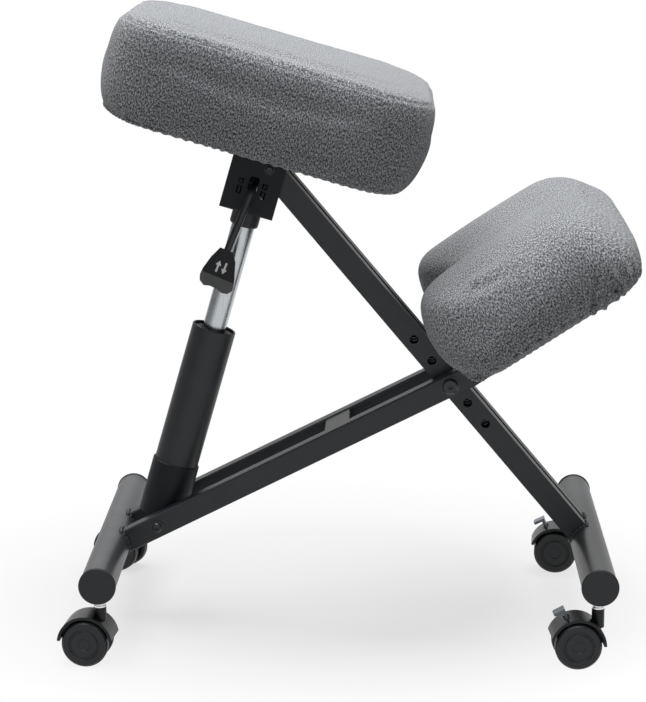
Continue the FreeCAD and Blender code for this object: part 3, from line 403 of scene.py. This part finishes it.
# Folds of the knee cover in its own frame: start, end, width, depth
kneeFolds = (
    ((0.157, -0.205, 0.026), (0.186, -0.205, 0.056), 0.0042, 0.0042),
    ((0.166, -0.203, 0.022), (0.195, -0.2, 0.05), 0.0038, 0.0034),
    ((0.178, -0.2, 0.02), (0.204, -0.196, 0.054), 0.0042, 0.0042),
    ((0.144, -0.207, 0.028), (0.158, -0.208, 0.046), 0.0038, 0.0028),
    ((0.192, -0.194, 0.019), (0.212, -0.188, 0.04), 0.0038, 0.0032),
    ((0.126, -0.208, 0.03), (0.136, -0.209, 0.042), 0.0035, 0.0013),
    ((0.21, -0.172, 0.017), (0.226, -0.166, 0.036), 0.0035, 0.0018),
    ((0.07, -0.166, 0.116), (0.118, -0.17, 0.106), 0.009, -0.0016),
    ((0.07, -0.18, 0.106), (0.116, -0.184, 0.096), 0.007, 0.0012),
    ((0.19, -0.035, 0.118), (0.228, -0.13, 0.09), 0.0034, 0.0022),
    ((0.16, 0.205, 0.026), (0.186, 0.204, 0.056), 0.0036, 0.003),
    ((0.182, 0.199, 0.02), (0.206, 0.195, 0.052), 0.0036, 0.003),
    ((0.14, 0.207, 0.028), (0.152, 0.208, 0.046), 0.0034, 0.002),
    ((0.224, 0.05, 0.02), (0.232, 0.052, 0.045), 0.004, 0.0015),
    ((0.224, -0.04, 0.02), (0.232, -0.038, 0.042), 0.004, 0.0015),
)


def looseCopy(nodeName, pieceName):
    mesh = nodes[nodeName].data.copy()
    piece = bpy.data.objects.new(pieceName, mesh)
    bpy.context.scene.collection.objects.link(piece)
    makeActive(piece)
    bpy.ops.object.mode_set(mode="EDIT")
    bpy.ops.mesh.select_all(action="SELECT")
    bpy.ops.mesh.remove_doubles(threshold=0.0001)
    bpy.ops.object.mode_set(mode="OBJECT")
    return piece


cover = {"quality": 4, "stretch": 12, "shear": 6, "bend": 0.6, "frames": 20, "smoothing": 4}


def inflate(piece, look, held):
    # The cover is held where it is stapled and swells elsewhere
    group = piece.vertex_groups.new(name="stapled")
    group.add([int(index) for index in np.nonzero(held)[0]], 1.0, "REPLACE")
    start = readPoints(piece.data)
    makeActive(piece)
    cloth = piece.modifiers.new("Cloth", "CLOTH")
    settings = cloth.settings
    settings.quality = cover["quality"]
    settings.vertex_group_mass = "stapled"
    settings.tension_stiffness = cover["stretch"]
    settings.compression_stiffness = cover["stretch"]
    settings.shear_stiffness = cover["shear"]
    settings.bending_stiffness = cover["bend"]
    settings.use_pressure = True
    settings.uniform_pressure_force = look["pressure"]
    settings.effector_weights.gravity = 0
    cloth.collision_settings.use_collision = False
    cloth.collision_settings.use_self_collision = False
    cloth.point_cache.frame_start = 1
    cloth.point_cache.frame_end = cover["frames"]
    for number in range(1, cover["frames"] + 1):
        bpy.context.scene.frame_set(number)
    bpy.ops.object.modifier_apply(modifier=cloth.name)
    bpy.context.scene.frame_set(1)
    moved = readPoints(piece.data) - start
    writePoints(piece.data, start)
    normals = readNormals(piece.data)
    outward = (moved * normals).sum(1, keepdims=True)
    moved += normals * (np.maximum(outward, 0) - outward)  # foam holds the cover out
    length = np.linalg.norm(moved, axis=1, keepdims=True)
    moved *= np.minimum(1, look["cap"] / np.maximum(length, 1e-9))
    writePoints(piece.data, start + moved)
    piece.vertex_groups.clear()
    applyModifier(piece, "SMOOTH", factor=0.5, iterations=cover["smoothing"])


def makeCushion(look, pieceName, place, floor):
    # The mesh stays in the cushion's own upright frame until finishCushion
    piece = looseCopy(look["node"], pieceName)
    piece.data.transform(place.inverted())
    applyModifier(piece, "REMESH", mode="VOXEL", voxel_size=look["voxel"])
    applyModifier(piece, "SMOOTH", factor=0.5, iterations=5)
    points, normals = readPoints(piece.data), readNormals(piece.data)
    normals[:, 2] = np.maximum(normals[:, 2], 0)
    writePoints(piece.data, points - normals * look["shrink"])
    inflate(piece, look, readPoints(piece.data)[:, 2] < floor + look["stapleHeight"])
    applyModifier(piece, "SUBSURF", levels=1, render_levels=1)
    return piece


def finishCushion(piece, look, place):
    makeActive(piece)
    bpy.ops.object.mode_set(mode="EDIT")
    bpy.ops.mesh.select_all(action="SELECT")
    bpy.ops.uv.cube_project(cube_size=1.0, correct_aspect=False, scale_to_bounds=False)
    bpy.ops.object.mode_set(mode="OBJECT")
    bpy.ops.object.shade_smooth()
    piece.data.transform(place)
    addPiece(piece, piece.name, finishes["knit_cover"], look["body"])
    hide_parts(look["node"])


def localBox(nodeName, place):
    points = readPoints(nodes[nodeName].data)
    matrix = np.array(place.inverted())
    points = points @ matrix[:3, :3].T + matrix[:3, 3]
    return points.min(0), points.max(0)


def wrapSmooth(values, reach):
    # Averages a closed row of values over its neighbours
    kernel = np.hanning(2 * reach + 3)[1:-1]
    kernel /= kernel.sum()
    padded = np.concatenate([values[-reach:], values, values[:reach]])
    return np.convolve(padded, kernel, "valid")


def rimAround(points, centre, chosen, bins=360):
    # Goes round the chosen points and takes the outermost of each direction
    away = points[chosen] - centre
    turn = np.arctan2(away[:, 1], away[:, 0])
    sector = ((turn + math.pi) / (2 * math.pi) * bins).astype(int) % bins
    score = np.hypot(away[:, 0], away[:, 1]) - away[:, 2]
    rim = np.full((bins, 3), np.nan)
    order = np.argsort(score)
    rim[sector[order]] = points[chosen][order]
    known = ~np.isnan(rim[:, 0])
    places = np.arange(bins)
    for axis in range(3):
        rim[:, axis] = np.interp(places, places[known], rim[known, axis], period=bins)
        rim[:, axis] = wrapSmooth(rim[:, axis], 4)
    return rim


def evenly(rim, count):
    # The same closed line in equal steps, with each point's distance along it
    closed = np.vstack([rim, rim[:1]])
    steps = np.linalg.norm(np.diff(closed, axis=0), axis=1)
    along = np.concatenate([[0], np.cumsum(steps)])
    wanted = np.linspace(0, along[-1], count, endpoint=False)
    line = np.stack([np.interp(wanted, along, closed[:, axis]) for axis in range(3)], axis=1)
    return line, wanted, along[-1]


def gathers(along, whole, pitch, seed):
    # Uneven folds of a gathered edge, about one for each pitch
    random = np.random.default_rng(seed)
    count = max(8, round(whole / pitch))
    driftPlaces, strengthPlaces = np.linspace(0, whole, 40), np.linspace(0, whole, 70)
    drift = np.interp(along, driftPlaces, random.uniform(-0.9, 0.9, 40), period=whole)
    strength = np.interp(along, strengthPlaces, random.uniform(0.35, 1.25, 70), period=whole)
    return np.sin(2 * math.pi * count * along / whole + 2.2 * drift) * strength


def ringFrames(line):
    ahead = np.roll(line, -1, axis=0) - np.roll(line, 1, axis=0)
    ahead /= np.linalg.norm(ahead, axis=1, keepdims=True)
    out = np.cross(ahead, (0, 0, 1))
    out /= np.linalg.norm(out, axis=1, keepdims=True)
    return out, np.cross(out, ahead)


def makeRing(name, line, radii, flat=1.0, sides=8):
    # A closed cord along the line, from a torus whose sections are put in place
    count = len(line)
    deselectAll()
    bpy.ops.mesh.primitive_torus_add(
        major_segments=count, minor_segments=sides, major_radius=0.1, minor_radius=0.01
    )
    ring = bpy.context.object
    ring.name = name
    out, up = ringFrames(line)
    turn = np.arange(sides) * 2 * math.pi / sides
    across = out[:, None, :] * np.cos(turn)[None, :, None]
    high = up[:, None, :] * np.sin(turn)[None, :, None] * flat
    sections = line[:, None, :] + (across + high) * np.asarray(radii)[:, None, None]
    writePoints(ring.data, sections.reshape(-1, 3))
    makeActive(ring)
    bpy.ops.object.mode_set(mode="EDIT")
    bpy.ops.mesh.select_all(action="SELECT")
    bpy.ops.mesh.normals_make_consistent(inside=False)
    bpy.ops.uv.cube_project(cube_size=1.0, correct_aspect=False, scale_to_bounds=False)
    bpy.ops.object.mode_set(mode="OBJECT")
    bpy.ops.object.shade_smooth()
    return ring


seatHem = {"radius": 0.0018, "pitch": 0.0062, "wave": 0.0009, "samples": 1500}
kneeHem = {"radius": 0.0031, "pitch": 0.0095, "wave": 0.0028, "samples": 1500}


def addHem(name, rim, hem, place, body, seed):
    line, along, whole = evenly(rim, hem["samples"])
    fold = gathers(along, whole, hem["pitch"], seed)
    out, up = ringFrames(line)
    line = line + (out * 0.7 - up * 0.7) * (hem["wave"] * fold)[:, None]
    radii = hem["radius"] * (0.85 + 0.25 * fold)
    ring = makeRing(name, line, radii, flat=1.15)
    ring.data.transform(place)
    addPiece(ring, name, finishes["knit_cover"], body)


returnLook = {
    "rows": 9,
    "samples": 720,
    "ruffle": 0.0009,
    "pitch": 0.0085,
    "cloth": 0.0007,
    "cord": 0.0014,
}


def addReturn(name, rim, place, body, under, depthAt, seed):
    # The cover's edge, drawn in under the board by its elastic
    line, along, whole = evenly(rim, returnLook["samples"])
    out = ringFrames(line)[0]
    depth = depthAt(line)
    fold = gathers(along, whole, returnLook["pitch"], seed)
    rows, count = returnLook["rows"], returnLook["samples"]
    deselectAll()
    bpy.ops.mesh.primitive_grid_add(x_subdivisions=rows - 1, y_subdivisions=count - 1, size=1)
    strip = bpy.context.object
    points = np.empty((count, rows, 3))
    for row in range(rows):
        share = row / (rows - 1)
        inward = line - out * (depth * share)[:, None]
        level = under + (line[:, 2] - under) * (1 - share) ** 4
        inward[:, 2] = level + fold * returnLook["ruffle"] * share
        points[:, row] = inward
    writePoints(strip.data, points.reshape(-1, 3))
    makeActive(strip)
    bpy.ops.object.mode_set(mode="EDIT")
    bpy.ops.mesh.select_mode(type="EDGE")
    bpy.ops.mesh.select_all(action="DESELECT")
    bpy.ops.object.mode_set(mode="OBJECT")
    for edge in strip.data.edges:
        first, second = (index // rows for index in edge.vertices)
        edge.select = first == second and first in (0, count - 1)
    bpy.ops.object.mode_set(mode="EDIT")
    bpy.ops.mesh.bridge_edge_loops()
    bpy.ops.mesh.select_all(action="SELECT")
    bpy.ops.uv.cube_project(cube_size=1.0, correct_aspect=False, scale_to_bounds=False)
    bpy.ops.object.mode_set(mode="OBJECT")
    applyModifier(strip, "SOLIDIFY", thickness=returnLook["cloth"], offset=0.0)
    makeActive(strip)
    bpy.ops.object.shade_smooth()
    edge = makeRing(name + "Elastic", points[:, -1], np.full(count, returnLook["cord"]), flat=0.7)
    makeActive(strip)
    edge.select_set(True)
    bpy.ops.object.join()
    strip.data.transform(place)
    addPiece(strip, name, finishes["knit_cover"], body)


def gatherAlongHem(points, normals, rim, look, seed):
    line, along, whole = evenly(rim, 1200)
    fold = gathers(along, whole, look["gatherPitch"], seed)
    nearest = np.empty(len(points), int)
    distance = np.empty(len(points))
    for start in range(0, len(points), 4000):
        part = points[start:start + 4000, None, :2] - line[None, :, :2]
        gap = (part ** 2).sum(2)
        nearest[start:start + 4000] = gap.argmin(1)
        distance[start:start + 4000] = gap.min(1) ** 0.5
    above = points[:, 2] - line[nearest, 2]
    weight = np.exp(-np.maximum(above, 0) / look["gatherReach"])
    weight *= (distance < 0.03) * (above > -0.006)
    return normals * (fold[nearest] * weight * look["gatherDepth"])[:, None]


def treeOf(points):
    tree = KDTree(len(points))
    for index, point in enumerate(points):
        tree.insert(point, index)
    tree.balance()
    return tree


def onSurface(line, points, tree):
    # Lays a line on the nearest part of a surface
    snapped = []
    for spot in line:
        near = [index for place, index, gap in tree.find_n(spot, 4)]
        snapped.append(points[near].mean(0))
    return np.array(snapped)


foldLook = {"samples": 16, "fade": 0.85, "ridge": 0.7, "ridgePlace": 1.9}


def foldAt(points, normals, tree, start, end, width, depth):
    # A pinched fold along a short line, with the cloth raised on both sides
    shares = np.linspace(0, 1, foldLook["samples"])[:, None]
    straight = np.array(start) * (1 - shares) + np.array(end) * shares
    line = onSurface(straight, points, tree)
    gaps = np.linalg.norm(points[:, None, :] - line[None, :, :], axis=2)
    nearest = gaps.argmin(1)
    gap = gaps.min(1)
    taper = 1 - foldLook["fade"] * shares[nearest, 0]
    valley = np.exp(-(gap / width) ** 2)
    ridge = foldLook["ridge"] * np.exp(-((gap - foldLook["ridgePlace"] * width) / width) ** 2)
    return normals * (depth * taper * (ridge - valley))[:, None]


seatLow, seatHigh = localBox("seat_cushion", liftFrame)
seatCushion = makeCushion(seatPad, "seatCushion", liftFrame, seatLow[2])
points, normals = readPoints(seatCushion.data), readNormals(seatCushion.data)
seatCentre = np.array(((seatLow[0] + seatHigh[0]) / 2, 0, seatLow[2]))
seatRim = rimAround(points, seatCentre, points[:, 2] < seatLow[2] + seatPad["rimBand"])
seamBand = np.abs(points[:, 2] - seatPad["seamHeight"]) < seatPad["seamBand"]
seamCentre = seatCentre + np.array((0, 0, seatPad["seamHeight"] - seatLow[2]))
seatSeam = rimAround(points, seamCentre, seamBand)
seatSeam[:, 2] = seatPad["seamHeight"]
offSeam = points[:, 2] - seatPad["seamHeight"]
valley = np.exp(-(offSeam / seatPad["seamWidth"]) ** 2)
raised = np.exp(-((np.abs(offSeam) - seatPad["lipPlace"]) / seatPad["lipWidth"]) ** 2)
groove = valley - seatPad["lipHeight"] * raised
side = smoothStep(1 - np.abs(normals[:, 2]), 0.1, 0.4)
moved = points - normals * (groove * side * seatPad["seamDepth"])[:, None]
moved += gatherAlongHem(points, normals, seatRim, seatPad, 5)
writePoints(seatCushion.data, moved)
seatSurface = moved
finishCushion(seatCushion, seatPad, liftFrame)
addHem("seatHem", seatRim, seatHem, liftFrame, "seat_unit", 11)


def seatReturnDepth(line):
    return np.full(len(line), seatPad["turnIn"])


seatUnder = seatPad["underside"]
addReturn("seatCoverReturn", seatRim, liftFrame, "seat_unit", seatUnder, seatReturnDepth, 12)
seamLine, along, whole = evenly(onSurface(seatSeam, seatSurface, treeOf(seatSurface)), 720)
for axis in range(3):
    seamLine[:, axis] = wrapSmooth(seamLine[:, axis], 5)
stitches = {"radius": 0.0006, "swell": 0.00015, "count": 180}
swell = stitches["swell"] * np.sin(along / whole * 2 * math.pi * stitches["count"])
seamCord = makeRing("seatSeam", seamLine, stitches["radius"] + swell)
seamCord.data.transform(liftFrame)
addPiece(seamCord, "seatSeam", finishes["knit_cover"], "seat_unit")
print("seat cushion:", len(seatCushion.data.polygons), "faces")

kneeLow = localBox("knee_cushion", padFrame)[0]
kneeCushion = makeCushion(kneePad, "kneeCushion", padFrame, kneeLow[2])
points = readPoints(kneeCushion.data)
# The cover pulls the pad's lower rear corner round
lowness = 1 - smoothStep(points[:, 2], kneeLow[2], kneeLow[2] + kneePad["cornerHeight"])
rearness = 1 - smoothStep(points[:, 0], kneeLow[0], kneeLow[0] + kneePad["cornerLength"])
points[:, 0] += kneePad["cornerDraw"] * lowness * rearness
writePoints(kneeCushion.data, points)
normals = readNormals(kneeCushion.data)
kneeCentre = np.array((kneePad["rimMiddle"], 0, kneeLow[2]))
kneeRim = rimAround(points, kneeCentre, points[:, 2] < kneeLow[2] + kneePad["rimBand"])
moved = points + gatherAlongHem(points, normals, kneeRim, kneePad, 7)
kneeTree = treeOf(points)
for fold in kneeFolds:
    moved += foldAt(points, normals, kneeTree, *fold)
writePoints(kneeCushion.data, moved)
finishCushion(kneeCushion, kneePad, padFrame)
addHem("kneeHem", kneeRim, kneeHem, padFrame, "knee_frame", 21)


def kneeReturnDepth(line):
    # The cover isn't drawn in where the bars and the plate come out from under the pad
    free = smoothStep(np.abs(line[:, 1]), 0.075, 0.11)
    front = smoothStep(line[:, 0], 0.16, 0.19)
    return 0.004 + 0.036 * np.maximum(free, front)


kneeUnder = kneePad["underside"]
addReturn("kneeCoverReturn", kneeRim, padFrame, "knee_frame", kneeUnder, kneeReturnDepth, 22)
print("knee cushion:", len(kneeCushion.data.polygons), "faces")


# Weld beads
# The half sizes are those of the bead's path round a bar's end
weld = {
    "radius": 0.0021,
    "ripple": 0.0045,
    "swell": 0.16,
    "tubeRadius": 0.019,
    "halfY": 0.0105,
    "halfZ": 0.013,
}
kneeBarSection = {"near": -0.0375, "far": 0.0375}
seatBeamSection = {"near": -0.0165, "far": 0.0165}


def footCentre(nodeName):
    low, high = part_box(nodeName)
    return (low + high) / 2


def weldLine(place, ahead, middleY, tube, samples=96):
    # Where the bar's outline meets the round tube
    line = []
    for step in range(samples):
        turn = 2 * math.pi * step / samples
        reach = max(abs(math.cos(turn)), abs(math.sin(turn))) ** 0.85
        y = middleY + weld["halfY"] * math.cos(turn) / reach
        z = weld["halfZ"] * math.sin(turn) / reach
        start = place @ Vector((0, y, z)) - tube
        way = (place.to_3x3() @ Vector((ahead, 0, 0))).normalized()
        across = start.x * way.x + start.z * way.z
        within = across * across - (start.x ** 2 + start.z ** 2 - weld["tubeRadius"] ** 2)
        hit = start + way * (-across - math.sqrt(max(within, 0)))
        off = math.hypot(hit.x, hit.z) / weld["tubeRadius"]
        line.append(Vector((hit.x / off, hit.y, hit.z / off)) + tube)
    return np.array(line)


def addWeld(name, line, body):
    even, along, whole = evenly(line, 160)
    count = round(whole / weld["ripple"])
    ripple = 1 + weld["swell"] * np.sin(2 * math.pi * count * along / whole)
    bead = makeRing(name, even, weld["radius"] * ripple)
    addPiece(bead, name, finishes["frame_powder_coat"], body)


rearTube, frontTube = footCentre("rear_foot_tube"), footCentre("front_foot_tube")
for side, middle in kneeBarSection.items():
    addWeld("kneeBarWeld_" + side, weldLine(kneeBarFrame, -1, middle, rearTube), "knee_frame")
for side, middle in seatBeamSection.items():
    addWeld("seatBeamWeld_" + side, weldLine(beamFrame, 1, middle, frontTube), "seat_frame")
print("weld beads")


# Wheel caps
wheelCap = {"sides": 64, "sunk": 0.0001, "smoothAngle": 35}
# Distance from the axle and height over the wheel's face
capProfile = (
    (0.0236, 0.0),
    (0.0228, 0.0009),
    (0.0168, 0.0009),
    (0.0162, 0.0001),
    (0.0146, 0.0001),
    (0.014, 0.0009),
    (0.0115, 0.0012),
    (0.0068, 0.0012),
    (0.0062, 0.0006),
    (0.002, 0.0006),
)


def addWheelCap(wheelName, middle):
    # A turned cap on the outer face: a disc that is inset ring by ring
    low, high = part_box(wheelName)
    joint = joints[wheelName.replace("wheel", "spin")]
    axle, axis = Vector(joint["pos_m"]), Vector(joint["axis"])
    centre = (low + high) / 2
    outward = axis if (centre - middle).dot(axis) > 0 else -axis
    points = readPoints(nodes[wheelName].data) - np.array(axle)
    face = (points @ np.array(outward)).max()
    deselectAll()
    bpy.ops.mesh.primitive_circle_add(
        vertices=wheelCap["sides"], radius=capProfile[0][0], fill_type="NGON"
    )
    cap = bpy.context.object
    makeActive(cap)
    bpy.ops.object.mode_set(mode="EDIT")
    bpy.ops.mesh.select_all(action="SELECT")
    for (wide, base), (narrow, top) in zip(capProfile, capProfile[1:]):
        bpy.ops.mesh.inset(thickness=wide - narrow, depth=0)
        bpy.ops.transform.translate(value=(0, 0, top - base))
    bpy.ops.object.mode_set(mode="OBJECT")
    bpy.ops.object.shade_smooth_by_angle(angle=math.radians(wheelCap["smoothAngle"]))
    turn = Vector((0, 0, 1)).rotation_difference(outward).to_matrix().to_4x4()
    seat = axle + outward * (face - wheelCap["sunk"])
    cap.data.transform(Matrix.Translation(seat) @ turn)
    addPiece(cap, wheelName.replace("wheel", "cap"), capFinish, wheelName)


capFinish = plastic("wheelCapPlastic", 0.013, 0.4, grain=1500, specular=0.4)
for corner in ("rear_near", "rear_far", "front_near", "front_far"):
    middle = Vector(joints["spin_" + corner + "_a"]["pos_m"])
    for side in "ab":
        addWheelCap("wheel_" + corner + "_" + side, middle)
print("wheel caps")


# The mark on the lever paddle
mark = {
    "height": 0.013,
    "headWidth": 0.0064,
    "headLength": 0.0055,
    "shaftWidth": 0.0022,
    "shaftInHead": 0.0005,
    "left": -0.003,
    "low": -0.0135,
    "gap": 0.0076,
    "face": -0.0052,
    "proud": 0.0003,
}
leverTip = Vector((-0.009, -0.058, 0.318))
leverCorner = Vector((0, -0.046, 0.396))
alongRod = (leverCorner - leverTip).normalized()
paddleTurn = Vector((0, 0, 1)).rotation_difference(alongRod).to_matrix().to_4x4()
paddleFrame = liftFrame @ Matrix.Translation(leverTip) @ paddleTurn


def addArrow(name, x, z, turn):
    # One arrow, drawn flat and then given its thickness
    deselectAll()
    bpy.ops.mesh.primitive_plane_add(size=1, location=(0, 0, 0))
    arrow = bpy.context.object
    half, neck = mark["height"] / 2, mark["shaftWidth"] / 2
    base = half - mark["headLength"]
    shaftTop = base + mark["shaftInHead"]
    corners = ((-neck, -half), (neck, -half), (-neck, shaftTop), (neck, shaftTop))
    writePoints(arrow.data, np.array([(*corner, 0) for corner in corners]))
    bpy.ops.mesh.primitive_circle_add(vertices=3, radius=1, fill_type="NGON")
    head = bpy.context.object
    wide = mark["headWidth"] / 2
    tip = ((0, half), (-wide, base), (wide, base))
    writePoints(head.data, np.array([(*corner, 0.00002) for corner in tip]))
    arrow.select_set(True)
    bpy.context.view_layer.objects.active = arrow
    bpy.ops.object.join()
    applyModifier(arrow, "SOLIDIFY", thickness=mark["proud"], offset=1.0)
    makeActive(arrow)
    bpy.ops.object.mode_set(mode="EDIT")
    bpy.ops.mesh.select_all(action="SELECT")
    bpy.ops.mesh.normals_make_consistent(inside=False)
    bpy.ops.object.mode_set(mode="OBJECT")
    upright = Matrix.Rotation(math.radians(90), 4, "X") @ Matrix.Rotation(turn, 4, "Z")
    arrow.data.transform(paddleFrame @ Matrix.Translation((x, mark["face"], z)) @ upright)
    addPiece(arrow, name, markWhite, "lever")


markWhite = plastic("markWhite", 0.86, 0.5, tint=0.01)
addArrow("paddleArrowUp", mark["left"], mark["low"], 0)
addArrow("paddleArrowDown", mark["left"] + mark["gap"], mark["low"], math.pi)


lip = {"level": 0.085, "roughness": 0.5, "faceDepth": 0.0054, "top": -0.0335}


def paintLip():
    # The paddle's lower lip is a lighter plastic
    mesh = nodes["lever_paddle"].data
    mesh.materials.append(plastic("lipPlastic", lip["level"], lip["roughness"]))
    toPaddle = paddleFrame.inverted()
    for polygon in mesh.polygons:
        spot = toPaddle @ polygon.center
        polygon.material_index = int(abs(spot.y) > lip["faceDepth"] or spot.z < lip["top"])


paintLip()
print("paddle mark")


# The studio
studio = {
    "floorColour": 0.5,
    "floorSize": 60,
    "floorLift": 0.66,
    "shadeOffset": (0.04, -0.12, 0),
    "shadeInner": 0.22,
    "shadeOuter": 0.48,
    "worldDim": 0.2,
    "topPower": 99,
    "topSize": 2.2,
    "topPlace": (-0.08, 0.3, 2.3),
}


def addFloor():
    bpy.ops.mesh.primitive_plane_add(size=studio["floorSize"])
    floor = bpy.context.object
    floor.name = "studioFloor"
    finish = Finish("studioFloor")
    colour = studio["floorColour"]
    finish.fix({"Base Color": (colour, colour, colour, 1)})
    finish.fix({"Roughness": 0.9, "Specular IOR Level": 0.1})
    path = finish.node("LightPath")
    seen = finish.math("MAXIMUM", path.outputs["Is Camera Ray"], path.outputs["Is Glossy Ray"])
    seen = finish.math("MAXIMUM", seen, path.outputs["Is Transmission Ray"])
    glow = finish.node("Emission", {"Color": (1, 1, 1, 1), "Strength": 1.0}).outputs[0]
    # Seen directly, the floor is darkest under the chair and turns white round it: the white glow is mixed in less
    # near the chair, a painted shade that also lets the chair's real shadow show
    placed = {"Vector": finish.coords.outputs["Object"], "Location": studio["shadeOffset"]}
    inputs = {"Vector": finish.node("Mapping", placed).outputs["Vector"]}
    distance = finish.node("VectorMath", inputs, operation="LENGTH").outputs["Value"]
    reach = {"Value": distance, "From Min": studio["shadeInner"], "From Max": studio["shadeOuter"]}
    far = finish.node("MapRange", reach)
    far.inputs["To Min"].default_value = studio["floorLift"]
    share = finish.math("MULTIPLY", seen, far.outputs["Result"])
    mixed = finish.node("MixShader", {0: share, 1: finish.shader.outputs[0], 2: glow})
    output = finish.tree.nodes["Material Output"]
    finish.tree.links.new(mixed.outputs[0], output.inputs["Surface"])
    floor.data.materials.append(finish.material)


# How bright the room looks in a gloss, from its left side to its right
roomGloss = (
    (0.0, 0.1),
    (0.22, 0.2),
    (0.36, 0.9),
    (0.5, 1.0),
    (0.62, 0.7),
    (0.78, 0.75),
    (0.92, 0.35),
    (1.0, 0.25),
)


def addWorld():
    world = bpy.data.worlds.new("studioWorld")
    world.use_nodes = True
    bpy.context.scene.world = world
    tree = world.node_tree
    background = tree.nodes["Background"]
    path = tree.nodes.new("ShaderNodeLightPath")
    coords = tree.nodes.new("ShaderNodeTexCoord")
    parts = tree.nodes.new("ShaderNodeSeparateXYZ")
    tree.links.new(coords.outputs["Generated"], parts.inputs[0])
    across = tree.nodes.new("ShaderNodeMapRange")
    across.inputs["From Min"].default_value = -1
    tree.links.new(parts.outputs["X"], across.inputs["Value"])
    room = tree.nodes.new("ShaderNodeValToRGB")
    elements = room.color_ramp.elements
    while len(elements) < len(roomGloss):
        elements.new(0.5)
    for element, (place, level) in zip(elements, roomGloss):
        element.position = place
        element.color = (level, level, level, 1)
    tree.links.new(across.outputs["Result"], room.inputs["Fac"])

    def combine(operation, *values):
        node = tree.nodes.new("ShaderNodeMath")
        node.operation = operation
        for socket, value in zip(node.inputs, values):
            if isinstance(value, bpy.types.NodeSocket):
                tree.links.new(value, socket)
            else:
                socket.default_value = value
        return node.outputs[0]

    glossy = combine("MULTIPLY", room.outputs["Color"], path.outputs["Is Glossy Ray"])
    plain = combine("MAXIMUM", glossy, studio["worldDim"])
    seen = combine("MAXIMUM", path.outputs["Is Camera Ray"], path.outputs["Is Transmission Ray"])
    level = combine("MAXIMUM", plain, seen)
    background.inputs["Color"].default_value = (1, 1, 1, 1)
    tree.links.new(level, background.inputs["Strength"])


def addLights():
    bpy.ops.object.light_add(type="AREA", location=studio["topPlace"])
    top = bpy.context.object
    top.name = "topSoftbox"
    top.data.size = studio["topSize"]
    top.data.energy = studio["topPower"]


addFloor()
addWorld()
addLights()
bpy.context.scene.view_settings.view_transform = "Standard"
